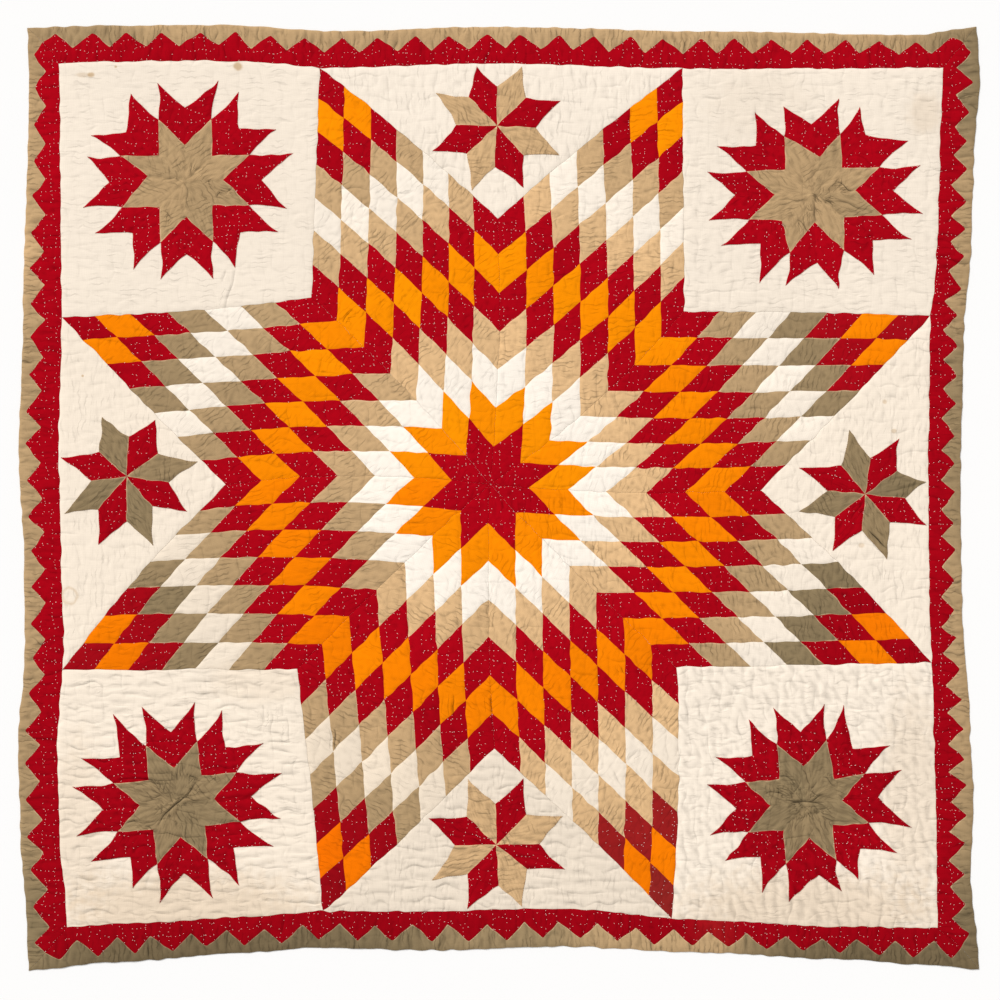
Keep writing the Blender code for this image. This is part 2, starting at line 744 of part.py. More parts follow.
def main():
    clear_scene()
    noise.seed_set(STRAY_SEED)
    collection = bpy.data.collections.new(OBJECT_NAME)
    bpy.context.scene.collection.children.link(collection)
    materials = {cloth: cotton(cloth) for cloth in CLOTH_COLOURS}
    layout = Layout()

    def finish(name, sheet, cloths):
        cloth_object(name, sheet, cloths, collection, materials, layout.middle)

    points = {point.name: point for point in STAR_POINTS}
    for point in STAR_POINTS:
        sheet, cloths = star_point(layout, point)
        finish("star_point_" + point.name, sheet, cloths)

    corner_stars = {star.name: star for star in CORNER_STARS}
    corners = (
        ("nw", "top", "left", "nnw", "wnw"),
        ("ne", "top", "right", "nne", "ene"),
        ("sw", "bottom", "left", "ssw", "wsw"),
        ("se", "bottom", "right", "sse", "ese"),
    )
    for name, level, upright, level_point, upright_point in corners:
        outline = corner_square_outline(
            layout, level, upright, name, points[level_point], points[upright_point]
        )
        panel, laid, cloths = plain_panel_and_star(outline, corner_stars[name], True)
        finish("corner_square_" + name, panel, ["white"])
        finish("corner_star_" + name, laid, cloths)

    side_stars = {star.name: star for star in SIDE_STARS}
    triangles = (
        ("n", "top", "nnw", "nne"),
        ("e", "right", "ese", "ene"),
        ("s", "bottom", "ssw", "sse"),
        ("w", "left", "wsw", "wnw"),
    )
    for name, side, low_point, high_point in triangles:
        outline = side_triangle_outline(layout, side, name, points[low_point], points[high_point])
        panel, laid, cloths = plain_panel_and_star(outline, side_stars[name], False)
        finish("side_triangle_" + name, panel, ["white"])
        finish("side_star_" + name, laid, cloths)

    for side in BORDER_EDGES:
        finish("toothed_border_" + side, toothed_border(layout, side), ["red"])
        finish("outer_border_" + side, outer_border(layout, side), ["khaki"])


main()
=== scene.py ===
import functools
import itertools
import math
import random
from collections import namedtuple

import bpy
import numpy as np
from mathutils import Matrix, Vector, noise
from mathutils.bvhtree import BVHTree
from mathutils.geometry import delaunay_2d_cdt


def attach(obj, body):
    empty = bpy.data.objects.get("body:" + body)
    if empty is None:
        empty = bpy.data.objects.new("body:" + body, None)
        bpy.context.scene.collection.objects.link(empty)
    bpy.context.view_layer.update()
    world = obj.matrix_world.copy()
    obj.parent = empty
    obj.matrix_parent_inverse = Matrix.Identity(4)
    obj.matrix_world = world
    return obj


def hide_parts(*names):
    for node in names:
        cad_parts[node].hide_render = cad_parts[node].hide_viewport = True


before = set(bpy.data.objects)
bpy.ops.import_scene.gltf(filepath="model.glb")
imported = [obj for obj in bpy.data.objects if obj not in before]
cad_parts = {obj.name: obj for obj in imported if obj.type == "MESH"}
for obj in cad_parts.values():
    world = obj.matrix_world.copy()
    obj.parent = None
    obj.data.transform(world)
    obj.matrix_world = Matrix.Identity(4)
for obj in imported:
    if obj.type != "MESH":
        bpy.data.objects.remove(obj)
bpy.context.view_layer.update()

# Star quilt blanket, cotton patchwork, hand quilted. All sizes are metres unless a name ends in mm.
# The layout is the CAD one, measured from a mark by the large star's middle and shifted at the end.
quilt = {
    "gap": 0.0003,
    "seamHeight": 0.0026,
    "hemHeight": 0.0022,
    "swell": 0.0004,
    "swellLength": 0.22,
    "diamondsAcross": 7,
    "tipShare": 0.92,
    "starMiddle": (-0.0031, 0.0091),  # where the eight points meet
    "seamStray": 0.0022,
    "starCornerClear": 0.004,  # how far a small star stays from the seams round its panel
    "strayLength": 0.070,
    "straySeed": 1795849650,
    "toothStrayAlong": 0.0045,
    "toothStrayAcross": 0.0022,
    "toothSeed": 11,
    "cornerSteps": 7,
    "middleSteps": 10,
    "cornerLobeBulge": 0.004,
    "cornerPasses": 6,
    "cell": 0.0043,  # spacing of the mesh points on plain cloth
    "diamondCells": 16,  # mesh cells along one side of a small diamond
}

ringCloths = (
    "red", "orange", "white", "khaki", "red", "orange", "red",
    "khaki", "white", "khaki", "red", "orange", "red",
)

Edge = namedtuple("Edge", "along outer width")
borderEdges = {
    "top": (
        Edge(-0.967, 0.963, 0.076),
        Edge(-0.816, 0.967, 0.076),
        Edge(-0.566, 0.969, 0.075),
        Edge(-0.326, 0.956, 0.077),
        Edge(0.019, 0.965, 0.077),
        Edge(0.416, 0.956, 0.079),
        Edge(0.890, 0.948, 0.069),
        Edge(1.013, 0.965, 0.086),
    ),
    "right": (
        Edge(-1.004, 1.019, 0.086),
        Edge(-0.796, 1.001, 0.070),
        Edge(-0.649, 1.007, 0.078),
        Edge(-0.503, 1.000, 0.075),
        Edge(-0.232, 0.983, 0.068),
        Edge(0.029, 0.980, 0.068),
        Edge(0.332, 0.987, 0.070),
        Edge(0.499, 1.002, 0.071),
        Edge(0.697, 1.008, 0.071),
        Edge(0.869, 1.021, 0.079),
        Edge(0.965, 1.013, 0.071),
    ),
    "bottom": (
        Edge(-0.965, 1.006, 0.087),
        Edge(-0.796, 0.988, 0.080),
        Edge(-0.503, 0.968, 0.074),
        Edge(-0.378, 0.958, 0.076),
        Edge(-0.127, 0.963, 0.081),
        Edge(0.144, 0.955, 0.080),
        Edge(0.436, 0.967, 0.067),
        Edge(0.708, 0.981, 0.068),
        Edge(0.927, 0.994, 0.078),
        Edge(1.019, 1.004, 0.089),
    ),
    "left": (
        Edge(-1.006, 0.965, 0.080),
        Edge(-0.921, 0.969, 0.084),
        Edge(-0.712, 0.983, 0.083),
        Edge(-0.545, 0.988, 0.082),
        Edge(-0.336, 0.973, 0.081),
        Edge(-0.148, 0.975, 0.079),
        Edge(0.071, 0.986, 0.083),
        Edge(0.359, 0.977, 0.081),
        Edge(0.833, 0.965, 0.065),
        Edge(0.963, 0.967, 0.065),
    ),
}

# how many red teeth, where the first and last peak stand, and how far a peak and a hollow reach
Teeth = namedtuple("Teeth", "count first last peak hollow")
teethRows = {
    "top": Teeth(26, -0.909, 0.961, 0.81, 0.40),
    "right": Teeth(31, -0.927, 0.911, 0.81, 0.37),
    "bottom": Teeth(25, -0.900, 0.960, 0.80, 0.35),
    "left": Teeth(26, -0.947, 0.907, 0.83, 0.44),
}

Tips = namedtuple("Tips", "low high")
starTips = {
    "top": Tips(-0.357, 0.399),
    "right": Tips(-0.363, 0.361),
    "bottom": Tips(-0.351, 0.378),
    "left": Tips(-0.378, 0.359),
}

# bow: how far the seam from the star's middle bows clockwise off its straight line
Hollow = namedtuple("Hollow", "x y bow")
hollows = {
    "n": Hollow(0.015, 0.564, 0.0101),
    "ne": Hollow(0.403, 0.370, 0.0184),
    "e": Hollow(0.562, -0.002, 0.0105),
    "se": Hollow(0.388, -0.372, 0.0060),
    "s": Hollow(0.006, -0.541, 0.0063),
    "sw": Hollow(-0.405, -0.376, 0.0052),
    "w": Hollow(-0.553, 0.008, 0.0197),
    "nw": Hollow(-0.374, 0.399, 0.0108),
}

StarPoint = namedtuple("StarPoint", "name first side end second firstBow secondBow")
starPoints = (
    StarPoint("nne", "n", "top", "high", "ne", 0.006, 0.0),
    StarPoint("ene", "ne", "right", "high", "e", 0.003, 0.003),
    StarPoint("ese", "e", "right", "low", "se", 0.008, 0.0),
    StarPoint("sse", "se", "bottom", "high", "s", 0.008, -0.004),
    StarPoint("ssw", "s", "bottom", "low", "sw", 0.005, -0.003),
    StarPoint("wsw", "sw", "left", "low", "w", 0.0, 0.012),
    StarPoint("wnw", "w", "left", "high", "nw", 0.002, -0.007),
    StarPoint("nnw", "nw", "top", "low", "n", 0.0, 0.006),
)

# hollow, tip and notch: how far they lie from the middle; far: how much further a far tip stands out
SmallStar = namedtuple("SmallStar", "name x y turn wide high hollow tip notch far firstCloth")
cornerStars = (
    SmallStar("nw", -0.637, 0.643, 0.7, 1.022, 0.978, 0.0771, 0.1414, 0.1559, 0.0023, "khaki"),
    SmallStar("ne", 0.675, 0.617, 2.0, 1.067, 0.933, 0.0783, 0.1410, 0.1556, 0.0012, "khaki"),
    SmallStar("sw", -0.655, -0.654, 5.2, 1.023, 0.977, 0.0750, 0.1361, 0.1518, 0.0095, "khaki"),
    SmallStar("se", 0.658, -0.654, 4.4, 1.001, 0.999, 0.0748, 0.1356, 0.1482, 0.0042, "khaki"),
)
sideStars = (
    SmallStar("n", 0.011, 0.757, -1.6, 0.993, 1.007, 0.0834, 0.1443, 0.0, 0.0, "red"),
    SmallStar("e", 0.782, -0.011, -6.2, 1.036, 0.964, 0.0793, 0.1396, 0.0, 0.0, "khaki"),
    SmallStar("s", 0.0125, -0.742, 1.4, 1.013, 0.987, 0.0868, 0.1508, 0.0, 0.0, "khaki"),
    SmallStar("w", -0.758, 0.016, -1.6, 1.007, 0.993, 0.0851, 0.1462, 0.0, 0.0, "khaki"),
)
# corners of the small stars that the maker cut well off their regular place
HandCut = namedtuple("HandCut", "star corner arm right up")
handCuts = (
    HandCut("nw", "farAfter", 0, 0.011, 0.002),
    HandCut("nw", "farBefore", 0, -0.006, -0.008),
    HandCut("nw", "farBefore", 2, 0.015, 0.003),
    HandCut("nw", "notch", 3, -0.010, -0.004),
    HandCut("nw", "farAfter", 3, -0.004, -0.011),
    HandCut("nw", "hollow", 4, 0.000, 0.011),
    HandCut("nw", "farBefore", 4, 0.010, -0.002),
    HandCut("nw", "farBefore", 7, -0.011, 0.000),
    HandCut("ne", "notch", 1, -0.007, 0.015),
    HandCut("ne", "farAfter", 1, -0.017, 0.002),
    HandCut("ne", "hollow", 2, 0.013, 0.003),
    HandCut("ne", "farAfter", 2, -0.001, -0.013),
    HandCut("ne", "hollow", 5, -0.010, -0.004),
    HandCut("ne", "farAfter", 5, -0.004, -0.010),
    HandCut("ne", "hollow", 6, -0.003, 0.012),
    HandCut("ne", "farAfter", 6, -0.017, -0.005),
    HandCut("ne", "farBefore", 6, -0.010, 0.004),
    HandCut("sw", "farAfter", 0, 0.011, -0.010),
    HandCut("sw", "farBefore", 3, -0.002, 0.013),
    HandCut("sw", "farAfter", 5, 0.003, 0.012),
    HandCut("se", "farBefore", 0, 0.013, -0.016),
    HandCut("se", "hollow", 1, 0.009, -0.009),
    HandCut("se", "farAfter", 1, -0.015, 0.015),
    HandCut("se", "notch", 6, 0.014, -0.004),
    HandCut("se", "farAfter", 6, 0.005, 0.012),
    HandCut("se", "farAfter", 7, 0.000, -0.012),
    HandCut("se", "farBefore", 7, -0.014, 0.011),
    HandCut("n", "tip", 2, 0.007, -0.010),
    HandCut("n", "tip", 3, 0.005, 0.010),
    HandCut("n", "tip", 5, 0.004, -0.011),
    HandCut("n", "tip", 6, 0.006, 0.007),
    HandCut("e", "tip", 0, -0.011, -0.011),
    HandCut("e", "tip", 2, 0.007, 0.006),
    HandCut("e", "tip", 3, -0.013, -0.008),
    HandCut("e", "tip", 6, 0.005, -0.008),
    HandCut("s", "tip", 4, 0.005, -0.014),
    HandCut("s", "tip", 5, -0.010, -0.001),
    HandCut("s", "tip", 6, -0.010, 0.003),
    HandCut("s", "hollow", 7, 0.000, 0.009),
    HandCut("w", "tip", 0, 0.013, -0.011),
    HandCut("w", "tip", 3, -0.006, -0.010),
    HandCut("w", "tip", 4, 0.005, -0.016),
    HandCut("w", "tip", 7, -0.010, -0.004),
    HandCut("w", "hollow", 2, -0.001, 0.010),
    HandCut("w", "hollow", 4, 0.009, -0.002),
    HandCut("w", "hollow", 7, -0.006, 0.009),
    HandCut("w", "middle", 0, -0.002, 0.009),
)
starArms = 8
noise.seed_set(quilt["straySeed"])  # the seams stray the same way in every run, as in the CAD


# The layout, as in the CAD


def strayed(point):
    push = noise.noise_vector(Vector((point.x, point.y, 0.0)) / quilt["strayLength"])
    return point + push.to_2d() * quilt["seamStray"]


def borderReach(side, along, column):
    rows = borderEdges[side]
    low, high = rows[0], rows[0]
    for row in rows:
        high = row
        if row.along >= along:
            break
        low = row
    span = high.along - low.along
    share = 0.0 if span <= 0.0 else min(1.0, (along - low.along) / span)
    share = share * share * (3.0 - 2.0 * share)
    return getattr(low, column) * (1.0 - share) + getattr(high, column) * share


def place(side, along, across):
    if side == "top":
        return Vector((along, across))
    if side == "bottom":
        return Vector((along, -across))
    if side == "right":
        return Vector((across, along))
    return Vector((-across, along))


def innerReach(side, along):
    return borderReach(side, along, "outer") - borderReach(side, along, "width")


def fieldCorner(levelSide, uprightSide):
    alongLevel = borderReach(uprightSide, 0.0, "outer")
    signX = 1.0 if uprightSide == "right" else -1.0
    signY = 1.0 if levelSide == "top" else -1.0
    for _ in range(quilt["cornerPasses"]):
        alongUpright = signY * innerReach(levelSide, signX * alongLevel)
        alongLevel = innerReach(uprightSide, alongUpright)
    return Vector((signX * alongLevel, alongUpright))


def evenly(first, last, steps):
    return [first + (last - first) * step / steps for step in range(steps + 1)]


def innerSeam(side):
    if side in ("top", "bottom"):
        low, high = fieldCorner(side, "left").x, fieldCorner(side, "right").x
    else:
        low, high = fieldCorner("bottom", side).y, fieldCorner("top", side).y
    tips = starTips[side]
    stops = evenly(low, tips.low, quilt["cornerSteps"])
    stops += evenly(tips.low, tips.high, quilt["middleSteps"])[1:]
    stops += evenly(tips.high, high, quilt["cornerSteps"])[1:]
    return [place(side, along, innerReach(side, along)) for along in stops]


def toothLine(side, chance):
    teeth = teethRows[side]
    points = []
    spots = evenly(teeth.first, teeth.last, 2 * (teeth.count - 1))
    for index, along in enumerate(spots):
        share = teeth.peak if index % 2 == 0 else teeth.hollow
        inner = innerReach(side, along)
        across = inner + share * (borderReach(side, along, "outer") - inner)
        if 0 < index < len(spots) - 1:
            along += chance.uniform(-quilt["toothStrayAlong"], quilt["toothStrayAlong"])
            across += chance.uniform(-quilt["toothStrayAcross"], quilt["toothStrayAcross"])
        points.append(place(side, along, across))
    return points


def outerLine(side):
    rows = borderEdges[side]
    teeth = teethRows[side]
    stops = [rows[0].along]
    stops += evenly(teeth.first, teeth.last, 2 * (teeth.count - 1))
    stops.append(rows[-1].along)
    return [place(side, along, borderReach(side, along, "outer")) for along in stops]


chance = random.Random(quilt["toothSeed"])
seams = {side: innerSeam(side) for side in borderEdges}
teethLines = {side: toothLine(side, chance) for side in borderEdges}
hems = {side: outerLine(side) for side in borderEdges}
lobes = {}
for level, upright in itertools.product(("top", "bottom"), ("left", "right")):
    levelEnd = 0 if upright == "left" else -1
    uprightEnd = -1 if level == "top" else 0
    between = (teethLines[level][levelEnd] + teethLines[upright][uprightEnd]) / 2
    outwards = (hems[level][levelEnd] - between).normalized()
    lobes[level, upright] = between + outwards * quilt["cornerLobeBulge"]
hemX = [point.x for line in hems.values() for point in line]
hemY = [point.y for line in hems.values() for point in line]
middle = np.array([(min(hemX) + max(hemX)) / 2, (min(hemY) + max(hemY)) / 2])


def starTip(side, end):
    step = quilt["cornerSteps"] + (0 if end == "low" else quilt["middleSteps"])
    return seams[side][step]


def lobePair(side):
    if side in ("top", "bottom"):
        return lobes[side, "left"], lobes[side, "right"]
    return lobes["bottom", side], lobes["top", side]


def diamondSteps():
    full = quilt["diamondsAcross"] - 1 + quilt["tipShare"]
    return [step / full for step in range(quilt["diamondsAcross"])] + [1.0]


def bowed(start, end, awayFrom, bow, share):
    run = end - start
    outwards = Vector((-run.y, run.x)).normalized()
    if outwards.dot(awayFrom - start) > 0.0:
        outwards.negate()
    return outwards * bow * 4.0 * share * (1.0 - share)


def seamBow(hollow, share):
    run = Vector((hollow.x, hollow.y)) - Vector(quilt["starMiddle"])
    clockwise = Vector((run.y, -run.x)).normalized()
    return clockwise * hollow.bow * 4.0 * share * (1.0 - share)


def pointSpot(point, shareFirst, shareSecond):
    firstHollow, secondHollow = hollows[point.first], hollows[point.second]
    first, second = Vector(firstHollow[:2]), Vector(secondHollow[:2])
    tip = starTip(point.side, point.end)
    spot = Vector(quilt["starMiddle"]) * (1 - shareFirst) * (1 - shareSecond)
    spot += first * shareFirst * (1 - shareSecond)
    spot += second * shareSecond * (1 - shareFirst)
    spot += tip * shareFirst * shareSecond
    spot += seamBow(firstHollow, shareFirst) * (1 - shareSecond)
    spot += seamBow(secondHollow, shareSecond) * (1 - shareFirst)
    spot += bowed(first, tip, second, point.firstBow, shareSecond) * shareFirst
    spot += bowed(second, tip, first, point.secondBow, shareFirst) * shareSecond
    return spot


def pointEdge(point, fromHollow):
    if fromHollow == point.first:
        return [pointSpot(point, 1.0, share) for share in diamondSteps()]
    return [pointSpot(point, share, 1.0) for share in diamondSteps()]


def insideOutline(outline, point):
    within = False
    for first, second in zip(outline, outline[1:] + outline[:1]):
        if (first.y > point.y) != (second.y > point.y):
            crossing = first.x + (point.y - first.y) * (second.x - first.x) / (second.y - first.y)
            if point.x < crossing:
                within = not within
    return within


def clearOf(outline, point, distance):
    for first, second in zip(outline, outline[1:] + outline[:1]):
        run = second - first
        share = max(0.0, min(1.0, (point - first).dot(run) / run.length_squared))
        if (first + run * share - point).length < distance:
            return False
    return True


def smallStarPoints(star, armsBeyond, outline):
    halfArm = math.pi / starArms
    turn = math.radians(star.turn)
    starCentre = Vector((star.x, star.y))

    def run(radius, angle):
        awayX = radius * math.cos(angle + turn) * star.wide
        awayY = radius * math.sin(angle + turn) * star.high
        return Vector((awayX, awayY))

    runs = {("middle", 0): Vector((0.0, 0.0))}
    for arm in range(starArms):
        angle = 2.0 * halfArm * arm
        runs["hollow", arm] = run(star.hollow, angle)
        runs["tip", arm] = run(star.tip, angle + halfArm)
        if armsBeyond:
            runs["notch", arm] = run(star.notch, angle)
            for name, side in (("farAfter", halfArm), ("farBefore", -halfArm)):
                away = run(star.hollow, angle) + run(star.tip, angle + side)
                runs[name, arm] = away * (1.0 + star.far / away.length)
    for cut in handCuts:
        if cut.star == star.name:
            runs[cut.corner, cut.arm] += Vector((cut.right, cut.up))
    points = {}
    for name, away in runs.items():
        point = strayed(starCentre + away)
        while not (insideOutline(outline, point) and clearOf(outline, point, quilt["starCornerClear"])):
            point = point.lerp(starCentre, 0.02)
        points[name] = point
    return points


# corner names, cloth, and how far each of the four sides is cut inwards of straight
Patch = namedtuple("Patch", "corners cloth bows tone light turn")
starCut = {"outerBow": 0.0032, "notchBow": 0.0016}


def cornerSquareOutline(level, upright, hollow, levelPoint, uprightPoint):
    steps = quilt["cornerSteps"]
    levelRun = seams[level][: steps + 1]
    if upright == "right":
        levelRun = seams[level][-steps - 1:][::-1]
    uprightRun = seams[upright][: steps + 1]
    if level == "top":
        uprightRun = seams[upright][-steps - 1:][::-1]
    toHollow = pointEdge(levelPoint, hollow)[::-1]
    fromHollow = pointEdge(uprightPoint, hollow)
    return levelRun + toHollow[1:] + fromHollow[1:] + uprightRun[::-1][1:-1]


def sideTriangleOutline(side, hollow, lowPoint, highPoint):
    steps = quilt["cornerSteps"]
    run = seams[side][steps: steps + quilt["middleSteps"] + 1]
    toHollow = pointEdge(highPoint, hollow)[::-1]
    fromHollow = pointEdge(lowPoint, hollow)
    return run + toHollow[1:] + fromHollow[1:-1]



# Relief of the washed, hand quilted cloth, worked out once on one fine grid for the whole quilt
field = {
    "reach": 1.06,
    "step": 0.002,
    "quiltingPitch": 0.024,
    "quiltingWander": 0.004,
    "quiltingJog": 0.0024,
    "quiltingWidth": 0.0026,
    "handWaver": 0.0007,  # how far a seam wavers from straight
    "handWaverLength": 0.042,
    "deepLine": 0.0006,
    "deepFold": 0.00055,
    "lowest": -0.0013,
    "highest": 0.0019,
}
fieldCells = int(round(2 * field["reach"] / field["step"]))
fieldAxis = (np.arange(fieldCells) + 0.5) * field["step"] - field["reach"]
fieldX, fieldY = np.meshgrid(fieldAxis, fieldAxis)
waveX = np.fft.rfftfreq(fieldCells, field["step"])[None, :]
waveY = np.fft.fftfreq(fieldCells, field["step"])[:, None]


def softened(grid, radius):
    blur = np.exp(-2.0 * (math.pi * radius) ** 2 * (waveX ** 2 + waveY ** 2))
    return np.fft.irfft2(np.fft.rfft2(grid) * blur, s=grid.shape)


def waves(seed, along, across, degrees=0.0, spread=0.42):
    # random waves of even height, this long in one direction and this far apart across it
    white = np.random.default_rng(seed).standard_normal((fieldCells, fieldCells))
    turn = math.radians(degrees)
    onward = waveX * math.cos(turn) + waveY * math.sin(turn)
    sideways = waveY * math.cos(turn) - waveX * math.sin(turn)
    band = np.exp(-(((np.hypot(onward * along, sideways * across) - 1.0) / spread) ** 2))
    grid = np.fft.irfft2(np.fft.rfft2(white) * band, s=white.shape)
    return grid / grid.std()


def sampled(grid, points):
    # the grid's value at each point, between its four nearest cells
    spot = (points + field["reach"]) / field["step"] - 0.5
    spot = np.clip(spot, 0.0, fieldCells - 1.001)
    low = spot.astype(int)
    part = spot - low
    column, row = low[:, 0], low[:, 1]
    right, up = part[:, 0], part[:, 1]
    value = grid[row, column] * (1 - right) * (1 - up)
    value += grid[row, column + 1] * right * (1 - up)
    value += grid[row + 1, column] * (1 - right) * up
    return value + grid[row + 1, column + 1] * right * up


def insideLoop(points, loop):
    within = np.zeros(len(points), bool)
    following = np.roll(loop, -1, axis=0)
    for first, second in zip(loop, following):
        if first[1] == second[1]:
            continue
        crosses = (first[1] > points[:, 1]) != (second[1] > points[:, 1])
        slope = (second[0] - first[0]) / (second[1] - first[1])
        within ^= crosses & (points[:, 0] < first[0] + (points[:, 1] - first[1]) * slope)
    return within


def distanceToLine(points, line, closed=True):
    # how far each point lies from the nearest stretch of a line
    ends = np.roll(line, -1, axis=0) if closed else line[1:]
    starts = line if closed else line[:-1]
    nearest = np.full(len(points), 9.0)
    for start, end in zip(starts, ends):
        run = end - start
        share = np.clip((points - start) @ run / max(run @ run, 1e-12), 0.0, 1.0)
        apart = points - start - share[:, None] * run
        nearest = np.minimum(nearest, np.einsum("ij,ij->i", apart, apart))
    return np.sqrt(nearest)


def filled(grid, loop, value):
    # every cell of the grid inside a loop takes the value
    low = np.maximum(((loop.min(axis=0) + field["reach"]) / field["step"]).astype(int) - 1, 0)
    high = np.minimum(((loop.max(axis=0) + field["reach"]) / field["step"]).astype(int) + 2, fieldCells)
    columns, rows = slice(low[0], high[0]), slice(low[1], high[1])
    spots = np.stack((fieldX[rows, columns].ravel(), fieldY[rows, columns].ravel()), axis=1)
    within = insideLoop(spots, loop).reshape(fieldX[rows, columns].shape)
    grid[rows, columns][within] = value


def asArray(points):
    return np.array([(point.x, point.y) for point in points])


# How far each cloth has faded or dulled, by point of the large star: 0 is fresh, 1 is furthest.
# khakiIn, khakiMid and khakiOut are its three khaki rings; redAtTip is how light the last red is.
PointTone = namedtuple("PointTone", "khakiIn khakiMid khakiOut redAtTip brick orangeIn orangeOut whiteOut")
pointTones = {
    "nne": PointTone(0.05, 0.07, 0.30, 0.95, 0.0, 0.22, 0.32, 0.3),
    "ene": PointTone(0.00, 0.60, 0.83, 0.95, 0.1, 0.30, 0.60, 0.4),
    "ese": PointTone(0.02, 0.55, 0.98, 0.82, 0.0, 0.42, 0.70, 0.5),
    "sse": PointTone(0.06, 0.03, 0.10, 0.86, 0.9, 0.42, 0.76, 0.7),
    "ssw": PointTone(0.07, 0.45, 0.65, 0.74, 0.1, 0.40, 0.90, 1.0),
    "wsw": PointTone(0.42, 0.62, 0.92, 0.88, 0.1, 0.56, 0.72, 0.8),
    "wnw": PointTone(0.32, 0.60, 0.76, 0.97, 0.0, 0.34, 0.50, 0.3),
    "nnw": PointTone(0.03, 0.20, 0.38, 0.96, 0.0, 0.22, 0.28, 0.3),
}
# and the small stars' khaki, and how light their red is
starTones = {
    "nw": (0.60, 1.04), "ne": (0.60, 1.04), "sw": (0.88, 0.90), "se": (0.95, 0.92),
    "n": (0.30, 1.00), "e": (0.95, 0.96), "s": (0.22, 0.90), "w": (0.90, 0.98),
}
patchRandom = random.Random(29)


def patchFor(corners, cloth, tone, light, bows=(0.0, 0.0, 0.0, 0.0), turn=0.0):
    stray = {"khaki": 0.07, "red": 0.0, "orange": 0.10, "white": 0.08}[cloth]
    tone = min(1.0, max(0.0, tone + patchRandom.uniform(-stray, stray)))
    light *= 1.0 + patchRandom.uniform(-0.035, 0.035)
    return Patch(corners, cloth, bows, tone, light, turn)


def ringTone(cloth, ring, tones):
    # tone and light of one ring of a star point
    if cloth == "khaki":
        return {3: tones.khakiIn, 7: tones.khakiMid, 9: tones.khakiOut}[ring], 1.0
    if cloth == "orange":
        return tones.orangeIn + (tones.orangeOut - tones.orangeIn) * (ring - 1) / 10.0, 1.0
    if cloth == "white":
        return (tones.whiteOut if ring == 8 else 0.0), 1.0 - 0.03 * tones.whiteOut * (ring == 8)
    further = max(0.0, (ring - 4) / 8.0)
    return tones.brick * max(0.0, (ring - 6) / 6.0), 1.04 + (tones.redAtTip - 1.04) * further


# which way the washing creases run on each point of the large star
pointCreases = {
    "nnw": 48.0, "wnw": 42.0, "nne": 8.0, "ene": 75.0, "ese": 100.0, "sse": 60.0, "ssw": -25.0, "wsw": 15.0,
}


def starPointPatches(point):
    across = quilt["diamondsAcross"]
    steps = diamondSteps()
    spots = [[strayed(pointSpot(point, first, second)) for second in steps] for first in steps]
    patches = []
    for column in range(across):
        for row in range(across):
            corners = (
                spots[column][row], spots[column + 1][row],
                spots[column + 1][row + 1], spots[column][row + 1],
            )
            cloth = ringCloths[column + row]
            turn = pointCreases[point.name] + patchRandom.uniform(-12.0, 12.0)
            tone, light = ringTone(cloth, column + row, pointTones[point.name])
            patches.append(patchFor(corners, cloth, tone, light, turn=turn))
    return patches


def smallStarPatches(star, armsBeyond, outline):
    points = smallStarPoints(star, armsBeyond, outline)
    other = "khaki" if star.firstCloth == "red" else "red"
    khakiTone, redLight = starTones[star.name]
    outer, notch = starCut["outerBow"], starCut["notchBow"]
    patches = []
    for arm in range(starArms):
        after = (arm + 1) % starArms
        before = (arm - 1) % starArms
        corners = (points["middle", 0], points["hollow", arm], points["tip", arm], points["hollow", after])
        cloth = "khaki"
        cut = (0.0, 0.0, 0.0, 0.0)
        if not armsBeyond:
            cloth = star.firstCloth if arm % 2 == 0 else other
            cut = (0.0, notch, notch, 0.0)
        turn = patchRandom.uniform(0.0, 180.0)
        tone, light = (khakiTone, 1.0) if cloth == "khaki" else (0.0, redLight)
        patches.append(patchFor(corners, cloth, tone, light, cut, turn))
        if armsBeyond:
            root, split = points["hollow", arm], points["notch", arm]
            corners = (root, points["tip", arm], points["farAfter", arm], split)
            patches.append(patchFor(corners, "red", 0.0, redLight, (0.0, outer, notch, 0.0), turn + 30.0))
            corners = (root, split, points["farBefore", arm], points["tip", before])
            patches.append(patchFor(corners, "red", 0.0, redLight, (0.0, notch, outer, 0.0), turn - 30.0))
    return patches


pointsByName = {point.name: point for point in starPoints}
squares = (
    ("nw", "top", "left", "nnw", "wnw"),
    ("ne", "top", "right", "nne", "ene"),
    ("sw", "bottom", "left", "ssw", "wsw"),
    ("se", "bottom", "right", "sse", "ese"),
)
triangles = (
    ("n", "top", "nnw", "nne"),
    ("e", "right", "ese", "ene"),
    ("s", "bottom", "ssw", "sse"),
    ("w", "left", "wsw", "wnw"),
)
squareOutlines = {}
for name, level, upright, levelPoint, uprightPoint in squares:
    line = cornerSquareOutline(level, upright, name, pointsByName[levelPoint], pointsByName[uprightPoint])
    squareOutlines[name] = [strayed(point) for point in line]
triangleOutlines = {}
for name, side, lowPoint, highPoint in triangles:
    line = sideTriangleOutline(side, name, pointsByName[lowPoint], pointsByName[highPoint])
    triangleOutlines[name] = [strayed(point) for point in line]

starPatches = {point.name: starPointPatches(point) for point in starPoints}
cornerStarPatches = {star.name: smallStarPatches(star, True, squareOutlines[star.name]) for star in cornerStars}
sideStarPatches = {star.name: smallStarPatches(star, False, triangleOutlines[star.name]) for star in sideStars}


def fineLine(points, closed=True, step=quilt["cell"]):
    # the same line with points no further apart than the step
    ends = points[1:] + points[:1] if closed else points[1:]
    starts = points if closed else points[:-1]
    fine = []
    for start, end in zip(starts, ends):
        steps = max(1, math.ceil((end - start).length / step))
        fine += [start.lerp(end, index / steps) for index in range(steps)]
    return fine if closed else fine + [points[-1]]


